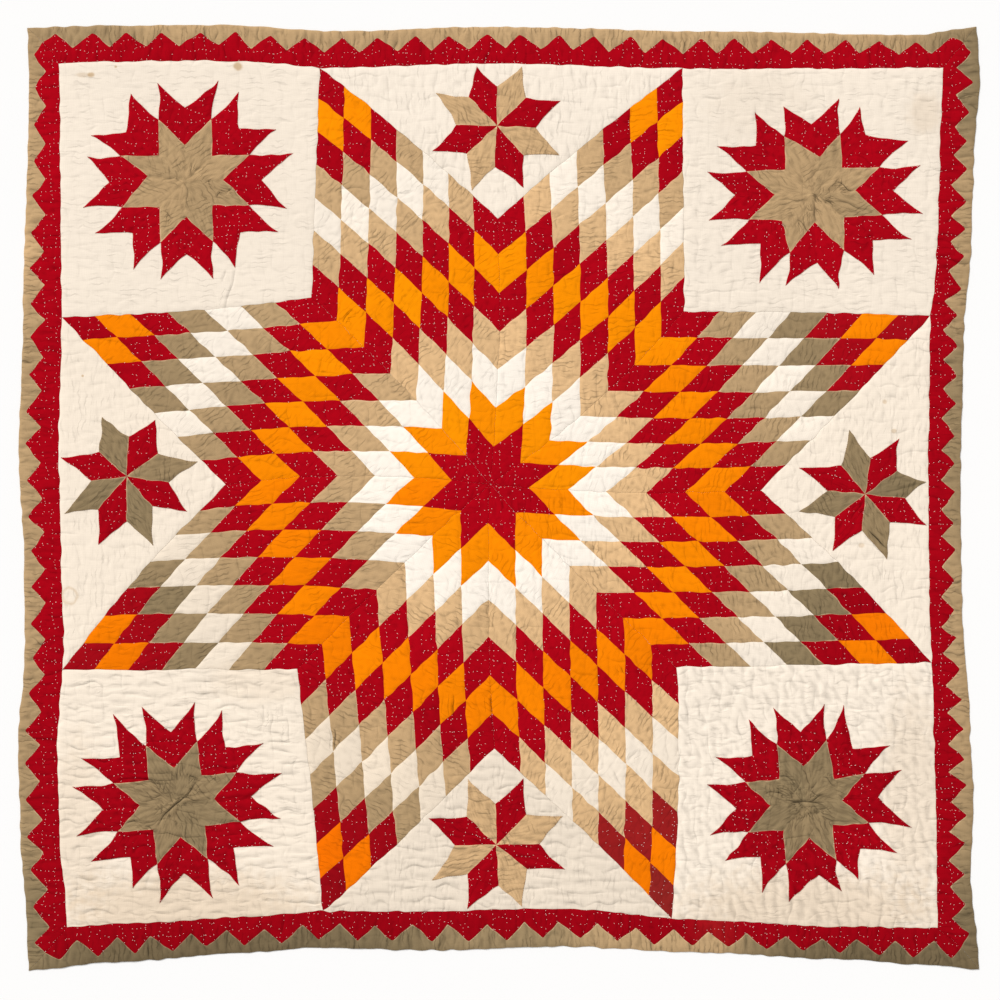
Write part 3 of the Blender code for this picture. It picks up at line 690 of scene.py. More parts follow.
toothCut = {"peakRound": 0.0045, "hollowRound": 0.0025, "roundSteps": 3}


def roundedTeeth(side):
    # the line of teeth with its peaks and hollows turned under a little round
    line = [lobePair(side)[0]] + teethLines[side] + [lobePair(side)[1]]
    fine = [line[0]]
    for index in range(1, len(line) - 1):
        radius = toothCut["peakRound"] if index % 2 == 1 else toothCut["hollowRound"]
        before = line[index] + (line[index - 1] - line[index]).normalized() * radius
        after = line[index] + (line[index + 1] - line[index]).normalized() * radius
        for step in range(toothCut["roundSteps"] + 1):
            share = step / toothCut["roundSteps"]
            fine.append(before.lerp(line[index], share).lerp(line[index].lerp(after, share), share))
    return fine + [line[-1]]


teethRounded = {side: roundedTeeth(side) for side in borderEdges}
redOutlines, khakiOutlines = {}, {}
for side in borderEdges:
    redOutlines[side] = [strayed(point) for point in seams[side]] + teethRounded[side][::-1]
    khakiOutlines[side] = hems[side] + teethRounded[side][::-1]

# which cloth shows at each cell of the field
clothNumbers = {"none": 0, "white": 1, "red": 2, "orange": 3, "khaki": 4}
clothMap = np.zeros(fieldX.shape, int)
for side in borderEdges:
    filled(clothMap, asArray(khakiOutlines[side]), clothNumbers["khaki"])
    filled(clothMap, asArray(redOutlines[side]), clothNumbers["red"])
for outline in itertools.chain(squareOutlines.values(), triangleOutlines.values()):
    filled(clothMap, asArray(outline), clothNumbers["white"])
allPatches = itertools.chain(*starPatches.values(), *cornerStarPatches.values(), *sideStarPatches.values())
for patch in allPatches:
    filled(clothMap, asArray(patch.corners), clothNumbers[patch.cloth])


def regionMask(*loops):
    mask = np.zeros(fieldX.shape)
    for loop in loops:
        filled(mask, asArray(loop), 1.0)
    return mask


def starOutline(name):
    first = pointEdge(pointsByName[name], pointsByName[name].first)
    second = pointEdge(pointsByName[name], pointsByName[name].second)
    return [pointSpot(pointsByName[name], 0.0, 0.0)] + first + second[::-1][1:]


def patchOutlines(patches):
    return [patch.corners for patch in patches]


# Puckers: how long and how far apart the waves are, which way they run, and their height
Pucker = namedtuple("Pucker", "region along across degrees height")
puckers = (
    Pucker("squareNw", 0.040, 0.024, 0.0, 0.00010),
    Pucker("squareNe", 0.044, 0.026, 80.0, 0.00018),
    Pucker("squareSw", 0.080, 0.019, 0.0, 0.00040),
    Pucker("squareSe", 0.060, 0.020, 98.0, 0.00036),
    Pucker("squareSe", 0.045, 0.019, -52.0, 0.00042),
    Pucker("triangleN", 0.040, 0.022, 90.0, 0.00020),
    Pucker("triangleE", 0.050, 0.020, 60.0, 0.00024),
    Pucker("triangleS", 0.075, 0.018, -8.0, 0.00038),
    Pucker("triangleW", 0.045, 0.022, 20.0, 0.00014),
    Pucker("pointNnw", 0.034, 0.0105, 48.0, 0.00020),
    Pucker("pointWnw", 0.034, 0.0110, 42.0, 0.00018),
    Pucker("pointNne", 0.036, 0.0100, 8.0, 0.00018),
    Pucker("pointEne", 0.026, 0.0130, 75.0, 0.00018),
    Pucker("pointEse", 0.026, 0.0140, 95.0, 0.00022),
    Pucker("pointSse", 0.026, 0.0130, 60.0, 0.00022),
    Pucker("pointSsw", 0.030, 0.0140, -25.0, 0.00020),
    Pucker("pointWsw", 0.034, 0.0140, 10.0, 0.00018),
    Pucker("borderLevel", 0.060, 0.0190, 90.0, 0.00028),
    Pucker("borderUpright", 0.060, 0.0190, 0.0, 0.00028),
    Pucker("smallStars", 0.022, 0.0150, 30.0, 0.00030),
    Pucker("starCentre", 0.030, 0.0160, 65.0, 0.00020),
)
# share of the puckers' height that each cloth takes: the khaki is thinnest and creases most
clothCreasing = {"none": 0.5, "white": 0.75, "red": 0.85, "orange": 0.70, "khaki": 1.45}
# depth of the quilting lines by region, for the level lines and the upright ones
Quilting = namedtuple("Quilting", "region level upright")
quiltingDepths = (
    Quilting("squareNw", 0.00014, 0.00012),
    Quilting("squareNe", 0.00024, 0.00018),
    Quilting("squareSw", 0.00066, 0.00020),
    Quilting("squareSe", 0.00034, 0.00036),
    Quilting("triangleN", 0.00022, 0.00026),
    Quilting("triangleE", 0.00028, 0.00024),
    Quilting("triangleS", 0.00062, 0.00018),
    Quilting("triangleW", 0.00018, 0.00016),
    Quilting("star", 0.00024, 0.00024),
    Quilting("borderLevel", 0.00010, 0.00045),
    Quilting("borderUpright", 0.00045, 0.00010),
)

regions = {
    "squareNw": regionMask(squareOutlines["nw"]),
    "squareNe": regionMask(squareOutlines["ne"]),
    "squareSw": regionMask(squareOutlines["sw"]),
    "squareSe": regionMask(squareOutlines["se"]),
    "triangleN": regionMask(triangleOutlines["n"]),
    "triangleE": regionMask(triangleOutlines["e"]),
    "triangleS": regionMask(triangleOutlines["s"]),
    "triangleW": regionMask(triangleOutlines["w"]),
    "borderLevel": regionMask(*[
        line[side] for line in (redOutlines, khakiOutlines) for side in ("top", "bottom")]),
    "borderUpright": regionMask(*[
        line[side] for line in (redOutlines, khakiOutlines) for side in ("left", "right")]),
    "smallStars": regionMask(*[
        loop for patches in itertools.chain(cornerStarPatches.values(), sideStarPatches.values())
        for loop in patchOutlines(patches)]),
    "starCentre": np.exp(-((fieldX ** 2 + fieldY ** 2) / 0.16 ** 2)),
}
for point in starPoints:
    regions["point" + point.name.capitalize()] = regionMask(starOutline(point.name))
regions["star"] = sum(regions["point" + point.name.capitalize()] for point in starPoints)
regions = {name: softened(mask, 0.006) for name, mask in regions.items()}
print("regions done")

# Single creases and folds that stand out: ends, bend sideways, width and depth
Fold = namedtuple("Fold", "x0 y0 x1 y1 bend width depth")
folds = (
    Fold(-0.695, -0.702, -0.614, -0.610, 0.004, 0.0016, 0.0011),
    Fold(-0.776, -0.606, -0.651, -0.605, 0.003, 0.0020, 0.0007),
    Fold(-0.742, -0.647, -0.650, -0.637, -0.006, 0.0022, 0.0006),
    Fold(-0.655, -0.583, -0.654, -0.607, 0.001, 0.0018, 0.0007),
    Fold(-0.634, -0.593, -0.610, -0.607, -0.001, 0.0018, 0.0008),
    Fold(-0.579, -0.593, -0.572, -0.610, 0.001, 0.0018, 0.0006),
    Fold(-0.690, -0.658, -0.682, -0.682, 0.002, 0.0018, 0.0006),
    Fold(-0.632, -0.674, -0.610, -0.700, -0.003, 0.0020, 0.0006),
    Fold(-0.657, -0.640, -0.600, -0.650, 0.004, 0.0022, 0.0006),
    Fold(-0.706, -0.612, -0.680, -0.640, 0.002, 0.0020, 0.0005),
    Fold(-0.765, -0.700, -0.700, -0.690, 0.004, 0.0020, 0.0005),
    Fold(0.718, 0.641, 0.758, 0.622, 0.003, 0.0020, 0.0009),
    Fold(0.697, 0.607, 0.712, 0.590, -0.002, 0.0022, 0.0009),
    Fold(0.671, 0.612, 0.683, 0.600, 0.003, 0.0022, 0.0008),
    Fold(0.655, 0.590, 0.690, 0.575, -0.004, 0.0022, 0.0006),
    Fold(0.600, 0.600, 0.660, 0.604, 0.003, 0.0020, 0.0004),
    Fold(0.640, 0.560, 0.668, 0.536, 0.003, 0.0022, 0.0006),
    Fold(0.715, 0.600, 0.790, 0.584, 0.003, 0.0022, 0.0006),
    Fold(0.660, 0.650, 0.690, 0.665, -0.003, 0.0022, 0.0004),
    Fold(-0.535, 0.459, -0.555, 0.370, 0.002, 0.0018, 0.0005),
    Fold(-0.640, 0.640, -0.628, 0.585, 0.004, 0.0020, 0.0005),
    Fold(-0.655, 0.655, -0.690, 0.640, 0.003, 0.0020, 0.0004),
    Fold(-0.636, 0.648, -0.600, 0.672, -0.003, 0.0020, 0.0004),
    Fold(0.650, -0.640, 0.620, -0.668, 0.004, 0.0022, 0.0008),
    Fold(0.655, -0.650, 0.700, -0.640, -0.004, 0.0022, 0.0008),
    Fold(0.668, -0.618, 0.650, -0.585, 0.003, 0.0022, 0.0007),
    Fold(0.690, -0.665, 0.650, -0.690, 0.004, 0.0022, 0.0007),
    Fold(0.615, -0.615, 0.600, -0.650, -0.003, 0.0022, 0.0007),
    Fold(0.640, -0.605, 0.605, -0.600, 0.003, 0.0022, 0.0006),
    Fold(0.720, -0.620, 0.690, -0.600, 0.003, 0.0022, 0.0006),
    Fold(-0.476, -0.453, -0.472, -0.487, 0.001, 0.0016, 0.0003),
    Fold(-0.457, -0.466, -0.459, -0.516, 0.002, 0.0016, 0.0004),
    Fold(-0.438, -0.449, -0.434, -0.474, 0.001, 0.0016, 0.0003),
    Fold(-0.426, -0.478, -0.420, -0.532, 0.002, 0.0016, 0.0004),
    Fold(0.614, -0.620, 0.645, -0.674, 0.002, 0.0016, 0.0007),
    Fold(0.645, -0.603, 0.628, -0.649, 0.003, 0.0016, 0.0006),
    Fold(0.670, -0.674, 0.704, -0.662, 0.002, 0.0016, 0.0007),
    Fold(0.656, -0.628, 0.691, -0.641, 0.002, 0.0016, 0.0006),
    Fold(0.622, -0.662, 0.658, -0.687, 0.001, 0.0016, 0.0006),
    Fold(-0.727, -0.628, -0.699, -0.649, 0.002, 0.0016, 0.0005),
    Fold(-0.649, -0.566, -0.637, -0.603, 0.001, 0.0016, 0.0006),
    Fold(-0.720, -0.704, -0.695, -0.716, 0.002, 0.0016, 0.0006),
    Fold(-0.658, -0.674, -0.641, -0.695, 0.001, 0.0016, 0.0007),
    Fold(-0.679, -0.620, -0.658, -0.662, 0.002, 0.0016, 0.0005),
    Fold(0.019, -0.712, 0.044, -0.737, 0.002, 0.0016, 0.0005),
    Fold(-0.044, -0.729, -0.010, -0.745, 0.002, 0.0016, 0.0005),
    Fold(0.029, -0.766, 0.038, -0.791, 0.001, 0.0016, 0.0005),
    Fold(-0.102, -0.537, -0.069, -0.549, 0.001, 0.0016, 0.0004),
    Fold(-0.065, -0.578, -0.044, -0.595, 0.001, 0.0016, 0.0004),
    Fold(0.215, -0.499, 0.236, -0.524, 0.001, 0.0016, 0.0004),
    Fold(0.253, -0.587, 0.274, -0.620, 0.001, 0.0016, 0.0004),
    Fold(0.286, -0.566, 0.307, -0.541, 0.001, 0.0016, 0.0004),
    Fold(0.787, -0.086, 0.825, -0.123, 0.001, 0.0018, 0.0011),
    Fold(0.750, -0.065, 0.775, -0.023, 0.002, 0.0018, 0.0006),
    Fold(-0.574, 0.606, -0.560, 0.628, 0.001, 0.0018, 0.0010),
    Fold(-0.553, 0.616, -0.543, 0.628, 0.001, 0.0018, 0.0008),
    Fold(-0.626, 0.656, -0.624, 0.681, 0.001, 0.0018, 0.0007),
    Fold(-0.599, 0.637, -0.583, 0.645, 0.001, 0.0018, 0.0006),
    Fold(-0.685, 0.578, -0.660, 0.566, 0.002, 0.0018, 0.0006),
    Fold(0.697, 0.595, 0.708, 0.612, 0.001, 0.0018, 0.0009),
    Fold(0.674, 0.601, 0.677, 0.557, 0.001, 0.0018, 0.0007),
    Fold(0.670, 0.618, 0.691, 0.599, 0.002, 0.0018, 0.0007),
    Fold(-0.079, -0.428, -0.077, -0.474, 0.001, 0.0018, 0.0009),
    Fold(0.000, -0.434, 0.002, -0.466, 0.000, 0.0016, 0.0008),
    Fold(0.269, -0.370, 0.278, -0.386, 0.001, 0.0016, 0.0007),
    Fold(0.180, -0.535, 0.203, -0.512, 0.001, 0.0018, 0.0006),
    Fold(-0.311, 0.347, -0.290, 0.376, 0.001, 0.0018, 0.0008),
    Fold(-0.562, 0.430, -0.553, 0.457, 0.001, 0.0018, 0.0004),
    Fold(-0.326, -0.499, -0.324, -0.545, 0.001, 0.0018, 0.0008),
    Fold(-0.248, 0.528, -0.240, 0.545, 0.001, 0.0018, 0.0006),
    Fold(0.570, -0.637, 0.612, -0.628, 0.003, 0.0018, 0.0008),
    Fold(0.612, -0.649, 0.699, -0.654, 0.001, 0.0014, 0.0008),
    Fold(0.645, -0.695, 0.691, -0.662, 0.002, 0.0018, 0.0008),
    Fold(0.679, -0.608, 0.658, -0.637, 0.002, 0.0018, 0.0007),
)


def foldGrid():
    grid = np.zeros(fieldX.shape)
    for fold in folds:
        start, end = np.array([fold.x0, fold.y0]), np.array([fold.x1, fold.y1])
        low = ((np.minimum(start, end) - 0.02 + field["reach"]) / field["step"]).astype(int)
        high = ((np.maximum(start, end) + 0.02 + field["reach"]) / field["step"]).astype(int)
        rows, columns = slice(low[1], high[1]), slice(low[0], high[0])
        spots = np.stack((fieldX[rows, columns].ravel(), fieldY[rows, columns].ravel()), axis=1)
        run = end - start
        sideways = np.array([-run[1], run[0]]) / np.hypot(*run)
        shares = np.linspace(0.0, 1.0, 9)[:, None]
        line = start + run * shares + sideways * fold.bend * np.sin(shares * 2.0 * math.pi)
        apart = distanceToLine(spots, line, closed=False)
        trough = fold.depth * np.exp(-((apart / fold.width) ** 2))
        shoulder = 0.2 * fold.depth * np.exp(-(((apart - 3.0 * fold.width) / (2.0 * fold.width)) ** 2))
        grid[rows, columns] += (shoulder - trough).reshape(fieldX[rows, columns].shape)
    return grid


clothShare = np.zeros(fieldX.shape)
for cloth, share in clothCreasing.items():
    clothShare[clothMap == clothNumbers[cloth]] = share
clothShare = softened(clothShare, 0.003)
# how near the red lies, for the painted highlight along the khaki's seams
redNearby = softened((clothMap == clothNumbers["red"]).astype(float), 0.0022)

relief = waves(3, 0.34, 0.34) * 0.5 * quilt["swell"]
for index, pucker in enumerate(puckers):
    ripple = waves(40 + index, pucker.along, pucker.across, pucker.degrees)
    sharp = np.exp(-((waves(90 + index, pucker.along * 1.3, pucker.across * 2.2, pucker.degrees) / 0.22) ** 2))
    relief += regions[pucker.region] * clothShare * pucker.height * (ripple - 1.6 * sharp)

wanderX = waves(7, 0.22, 0.22) * field["quiltingWander"] + waves(9, 0.06, 0.06) * field["quiltingJog"]
wanderY = waves(8, 0.22, 0.22) * field["quiltingWander"] + waves(10, 0.06, 0.06) * field["quiltingJog"]


def quiltingValley(along):
    pitch = field["quiltingPitch"]
    off = np.abs((along / pitch + 0.5) % 1.0 - 0.5) * pitch
    return np.exp(-((off / field["quiltingWidth"]) ** 2))


# the lines pull the cloth in more here and less there
levelDepth = np.clip(0.62 + 0.5 * waves(31, 0.075, 0.036), 0.06, 1.3)
uprightDepth = np.clip(0.62 + 0.5 * waves(32, 0.075, 0.036, 90.0), 0.06, 1.3)
levelDepth *= sum(regions[quilting.region] * quilting.level for quilting in quiltingDepths)
uprightDepth *= sum(regions[quilting.region] * quilting.upright for quilting in quiltingDepths)
relief -= levelDepth * quiltingValley(fieldY + wanderY) + uprightDepth * quiltingValley(fieldX + wanderX)
relief += foldGrid()
relief = np.clip(relief, field["lowest"], field["highest"])
# how far the cloth lies below its surroundings; the cottons darken their colour with it as painted shade in the
# hollows
groove = np.clip((softened(relief, 0.006) - relief) / 0.00055, 0.0, 1.0)
waverX = waves(21, 0.042, 0.042) * field["handWaver"]
waverY = waves(22, 0.042, 0.042) * field["handWaver"]
print("relief done", round(float(relief.min()) * 1000, 2), round(float(relief.max()) * 1000, 2), "mm")


# Cottons. The thread count of real patchwork cotton is about 0.4 mm a thread, too fine for a
# picture of a whole quilt, so the weave is drawn about four times as coarse.
cottonCut = {
    "threadMm": 1.7,
    "fadeLength": 0.21,
    "mottleLength": 0.013,
    "weaveDepth": 0.00008,
    "lineWobble": 0.0017,  # how far a sewn line's crease wanders in short waves
    "lineWobbleLength": 0.010,
    "lineWidth": 0.0021,  # half the width of the painted shade, with some dirt, along a sewn line's crease
    "foldWidth": 0.0021,
    "valleyWidth": 0.0052,
    "valleyDepth": 0.00075,
    "crumpleLong": 0.042,
    "crumpleAcross": 0.016,
}
cottonLooks = {
    "red": {  # plain weave cotton dyed turkey red: deep and even, browner where it has dulled
        "colour": "#a80415", "second": "#9a2a26", "lineShadeAndDirt": 0.34, "grooveShade": 0.26,
        "pleatApart": 0.0130, "pleatShade": 0.16, "pleatDepth": 0.00022, "pleatShare": (0.50, 0.64),
        "crumple": 0.00075, "fade": 0.16, "roughness": 0.90,
    },
    "orange": {  # chrome orange cotton: bright, browner where it has faded
        "colour": "#fd9a04", "second": "#f26d02", "lineShadeAndDirt": 0.36, "grooveShade": 0.24,
        "pleatApart": 0.0110, "pleatShade": 0.20, "pleatDepth": 0.00026, "pleatShare": (0.48, 0.62),
        "crumple": 0.00085, "fade": 0.08, "roughness": 0.92,
    },
    "white": {  # unbleached muslin gone cream with age
        "colour": "#fdf2e4", "second": "#f1dfc8", "lineShadeAndDirt": 0.26, "grooveShade": 0.20,
        "pleatApart": 0.0120, "pleatShade": 0.12, "pleatDepth": 0.00026, "pleatShare": (0.50, 0.64),
        "crumple": 0.00110, "fade": 0.05, "roughness": 0.95,
    },
    "khaki": {  # thin cotton whose dye has turned from tan to grey-green unevenly
        "colour": "#e2b988", "second": "#8b7859", "lineShadeAndDirt": 0.46, "grooveShade": 0.28,
        "pleatApart": 0.0100, "pleatShade": 0.34, "pleatDepth": 0.00030, "pleatShare": (0.47, 0.62),
        "crumple": 0.00120, "fade": 0.16, "roughness": 0.93,
    },
    "back": {  # the plain cream cotton that the underside shows
        "colour": "#efe3cf", "second": "#e6d5b8", "lineShadeAndDirt": 0.0, "grooveShade": 0.0,
        "pleatApart": 0.0120, "pleatShade": 0.05, "pleatDepth": 0.00020, "pleatShare": (0.50, 0.64),
        "crumple": 0.00060, "fade": 0.05, "roughness": 0.95,
    },
}
paleSeamHighlight = "#e9c9a0"  # a painted highlight: the pale line on the khaki along its seams with the red


def hexColour(text):
    values = [int(text[place:place + 2], 16) / 255.0 for place in (1, 3, 5)]
    return (*[v / 12.92 if v <= 0.04045 else ((v + 0.055) / 1.055) ** 2.4 for v in values], 1.0)


def addNode(tree, kind, settings=None, out=0):
    # settings: the node's own choices first, then a value or another node's output for each input
    node = tree.nodes.new(kind)
    for name, value in (settings or {}).items():
        if isinstance(name, str) and hasattr(node, name):
            setattr(node, name, value)
        elif isinstance(value, bpy.types.NodeSocket):
            tree.links.new(value, node.inputs[name])
        else:
            node.inputs[name].default_value = value
    return node.outputs[out] if len(node.outputs) else node


def creaseLines(add, place):
    # thin creases along the sewn lines and the listed folds, and the wide valleys they lie in
    # the thin creases only darken the colour, as painted shade with some dirt; the wide valleys only bump the
    # cloth
    pitch = field["quiltingPitch"]
    rows = add("ShaderNodeAttribute", {"attribute_name": "quiltingRows"}, "Vector")
    depths = add("ShaderNodeAttribute", {"attribute_name": "creaseDepths"}, "Vector")
    noiseNode = add("ShaderNodeTexNoise", {
        "Vector": place, "Scale": 1.0 / cottonCut["lineWobbleLength"], "Detail": 3.0}, "Color")
    wobble = add("ShaderNodeVectorMath", {"operation": "SUBTRACT", 0: noiseNode, 1: (0.5, 0.5, 0.5)})
    reach = 2.0 * cottonCut["lineWobble"] / pitch
    moved = add("ShaderNodeVectorMath", {
        "operation": "MULTIPLY_ADD", 0: wobble, 1: (reach, reach, 0.6 * reach), 2: rows})
    half = add("ShaderNodeVectorMath", {"operation": "ADD", 0: moved, 1: (0.5, 0.5, 0.5)})
    part = add("ShaderNodeVectorMath", {"operation": "FRACTION", 0: half})
    centred = add("ShaderNodeVectorMath", {"operation": "SUBTRACT", 0: part, 1: (0.5, 0.5, 0.5)})
    off = add("ShaderNodeVectorMath", {"operation": "ABSOLUTE", 0: centred})
    hereAndThere = add("ShaderNodeTexNoise", {"Vector": place, "Scale": 24.0, "Detail": 2.0}, "Color")
    shown = add("ShaderNodeMapRange", {
        "data_type": "FLOAT_VECTOR", 6: hereAndThere, 7: (0.40, 0.40, -1.0), 8: (0.60, 0.60, -0.5),
        9: (0.05, 0.05, 1.0), 10: (1.0, 1.0, 1.0)}, 1)
    shares = []
    for level, fold in (("lineWidth", "foldWidth"), ("valleyWidth", "valleyWidth")):
        widths = (cottonCut[level] / pitch, cottonCut[level] / pitch, cottonCut[fold] / pitch)
        line = add("ShaderNodeMapRange", {
            "data_type": "FLOAT_VECTOR", "interpolation_type": "SMOOTHSTEP", 6: off, 7: widths,
            8: (0.0, 0.0, 0.0), 9: (0.0, 0.0, 0.0), 10: (1.0, 1.0, 1.0)}, 1)
        deep = add("ShaderNodeVectorMath", {"operation": "MULTIPLY", 0: line, 1: depths})
        deep = add("ShaderNodeVectorMath", {"operation": "MULTIPLY", 0: deep, 1: shown})
        shares.append(add("ShaderNodeVectorMath", {"operation": "DOT_PRODUCT", 0: deep, 1: (1.0, 1.0, 1.0)}, 1))
    pulled = add("ShaderNodeVectorMath", {"operation": "DOT_PRODUCT", 0: depths, 1: (1.0, 1.0, 0.0)}, 1)
    return (*shares, pulled)


def cotton(cloth):
    look = cottonLooks[cloth]
    material = bpy.data.materials.new("cotton_" + cloth)
    material.use_nodes = True
    material.node_tree.nodes.clear()
    add = functools.partial(addNode, material.node_tree)
    place = add("ShaderNodeTexCoord", {}, "Object")
    grain = add("ShaderNodeUVMap", {"uv_map": "grain"})
    patch = add("ShaderNodeAttribute", {"attribute_name": "patchShade"}, "Color")
    shade = add("ShaderNodeSeparateColor", {"Color": patch}).node.outputs
    groove = add("ShaderNodeAttribute", {"attribute_name": "groove"}, "Fac")
    nearRed = add("ShaderNodeAttribute", {"attribute_name": "nearRed"}, "Fac")
    fade = add("ShaderNodeTexNoise", {
        "Vector": place, "Scale": 1.0 / cottonCut["fadeLength"], "Detail": 3.0, "Roughness": 0.6})
    mottle = add("ShaderNodeTexNoise", {
        "Vector": place, "Scale": 1.0 / cottonCut["mottleLength"], "Detail": 4.0, "Roughness": 0.65})
    crease, valley, pulled = creaseLines(add, place)

    # small pleats across the grain, here and there, with painted shade along their lines
    pleats = add("ShaderNodeTexWave", {
        "bands_direction": "Y", "Vector": grain, "Scale": math.pi / 10.0 / look["pleatApart"],
        "Distortion": 7.0, "Detail": 2.5, "Detail Scale": 1.1, "Detail Roughness": 0.6}, "Fac")
    pleatNoise = add("ShaderNodeTexNoise", {"Vector": place, "Scale": 27.0, "Detail": 2.0})
    pleated = add("ShaderNodeMapRange", {
        "Value": pleatNoise, "From Min": look["pleatShare"][0], "From Max": look["pleatShare"][1]})
    pleatLine = add("ShaderNodeMapRange", {
        "interpolation_type": "SMOOTHSTEP", "Value": pleats, "From Min": 0.76, "From Max": 0.98})
    pleatLine = add("ShaderNodeMath", {"operation": "MULTIPLY", 0: pleatLine, 1: pleated})

    # crumples: sharp valleys with round swells between, longer along the grain; painted shade darkens the valleys
    stretched = add("ShaderNodeMapping", {
        "Vector": grain, "Scale": (1.0 / cottonCut["crumpleLong"], 1.0 / cottonCut["crumpleAcross"], 1.0)})
    crumple = add("ShaderNodeTexNoise", {
        "noise_type": "RIDGED_MULTIFRACTAL", "Vector": stretched, "Scale": 1.0, "Detail": 2.4,
        "Roughness": 0.5, "Lacunarity": 2.1, "Distortion": 0.5})
    crumpleLine = add("ShaderNodeMapRange", {
        "interpolation_type": "SMOOTHSTEP", "Value": crumple, "From Min": 0.62, "From Max": 1.0})
    rumpled = add("ShaderNodeMapRange", {
        "Value": pulled, "From Min": 0.15, "From Max": 0.9, "To Min": 0.5, "To Max": 1.8})
    crumple = add("ShaderNodeMath", {"operation": "MULTIPLY", 0: crumple, 1: rumpled})

    # warp and weft
    weave = [add("ShaderNodeTexWave", {
        "bands_direction": direction, "Vector": grain, "Scale": 1000.0 / cottonCut["threadMm"] / 20.0 * math.pi,
        "Distortion": 1.2, "Detail": 1.0, "Detail Scale": 1.5}, "Fac") for direction in ("X", "Y")]
    thread = add("ShaderNodeMath", {"operation": "ADD", 0: weave[0], 1: weave[1]})

    colour = add("ShaderNodeMix", {
        "data_type": "RGBA", 0: shade["Red"], 6: hexColour(look["colour"]), 7: hexColour(look["second"])}, 2)
    # a painted highlight: the khaki turns pale next to the red, along the seam
    if cloth == "khaki":
        turned = add("ShaderNodeMapRange", {
            "Value": nearRed, "From Min": 0.25, "From Max": 0.42, "To Min": 0.0, "To Max": 0.5})
        colour = add("ShaderNodeMix", {"data_type": "RGBA", 0: turned, 6: colour, 7: hexColour(paleSeamHighlight)}, 2)
    if cloth == "white":
        colour = stained(add, place, colour)
    light = shade["Green"]
    for source, least, most, atLeast, atMost in (
        (fade, 0.25, 0.75, 1.0 - look["fade"] / 2, 1.0 + look["fade"] / 2),
        (mottle, 0.2, 0.8, 1.0 - look["fade"] / 2, 1.0 + look["fade"] / 2),
        # painted shade in the hollows
        (groove, 0.0, 1.0, 1.0, 1.0 - look["grooveShade"]),
        # painted shade along the creases, with some dirt
        (crease, 0.0, 2.0, 1.0, 1.0 - 2.0 * look["lineShadeAndDirt"]),
        # painted shade along the pleats and in the crumples' valleys
        (pleatLine, 0.0, 1.0, 1.0, 1.0 - look["pleatShade"]),
        (crumpleLine, 0.0, 1.0, 1.0, 1.0 - 0.9 * look["pleatShade"]),
        (thread, 0.0, 2.0, 0.97, 1.03),
    ):
        share = add("ShaderNodeMapRange", {
            "Value": source, "From Min": least, "From Max": most, "To Min": atLeast, "To Max": atMost})
        light = add("ShaderNodeMath", {"operation": "MULTIPLY", 0: light, 1: share})
    scaled = add("ShaderNodeVectorMath", {"operation": "SCALE", 0: colour, "Scale": light})

    height = 0.0
    for source, depth in (
        (thread, cottonCut["weaveDepth"] / 2), (valley, -cottonCut["valleyDepth"]),
        (pleatLine, -look["pleatDepth"]), (crumple, -look["crumple"]),
    ):
        height = add("ShaderNodeMath", {"operation": "MULTIPLY_ADD", 0: source, 1: depth, 2: height})
    bump = add("ShaderNodeBump", {"Strength": 1.0, "Distance": 1.0, "Height": height})
    rough = add("ShaderNodeMapRange", {
        "Value": mottle, "To Min": look["roughness"] - 0.05, "To Max": look["roughness"] + 0.05})
    shader = add("ShaderNodeBsdfPrincipled", {
        "Base Color": scaled, "Roughness": rough, "Normal": bump, "IOR": 1.45, "Metallic": 0.0,
        "Specular IOR Level": 0.03})
    add("ShaderNodeOutputMaterial", {"Surface": shader})
    return material


# Stains in the white cloth, and four wide faint patches that make it darker towards the bottom: place, size, ring
# or spot, and how strong
stainColour = "#b98e4a"
Stain = namedtuple("Stain", "x y across high ring strength")
stains = (
    Stain(-0.835, 0.864, 0.009, 0.006, 0.0, 0.55),
    Stain(-0.850, 0.864, 0.020, 0.006, 0.0, 0.25),
    Stain(-0.528, 0.882, 0.011, 0.010, 0.0, 0.62),
    Stain(-0.783, 0.881, 0.003, 0.003, 0.0, 0.50),
    Stain(-0.852, 0.236, 0.003, 0.003, 0.0, 0.55),
    Stain(-0.879, -0.223, 0.014, 0.014, 1.0, 0.30),
    Stain(0.841, 0.121, 0.006, 0.005, 0.0, 0.35),
    Stain(0.821, 0.182, 0.005, 0.005, 0.0, 0.35),
    Stain(0.773, -0.117, 0.007, 0.006, 0.0, 0.30),
    Stain(0.905, 0.785, 0.040, 0.050, 0.0, 0.16),
    Stain(0.560, 0.800, 0.120, 0.090, 0.0, 0.05),
    Stain(-0.480, -0.400, 0.120, 0.050, 0.0, 0.10),
    # these four wide, faint patches make the white darker towards the bottom and the lower sides
    Stain(-0.630, -0.890, 0.300, 0.110, 0.0, 0.26),
    Stain(-0.860, -0.700, 0.070, 0.200, 0.0, 0.14),
    Stain(0.660, -0.890, 0.300, 0.110, 0.0, 0.25),
    Stain(0.880, -0.640, 0.080, 0.240, 0.0, 0.16),
    Stain(0.830, 0.066, 0.005, 0.004, 0.0, 0.35),
    Stain(0.881, 0.017, 0.003, 0.003, 0.0, 0.45),
)


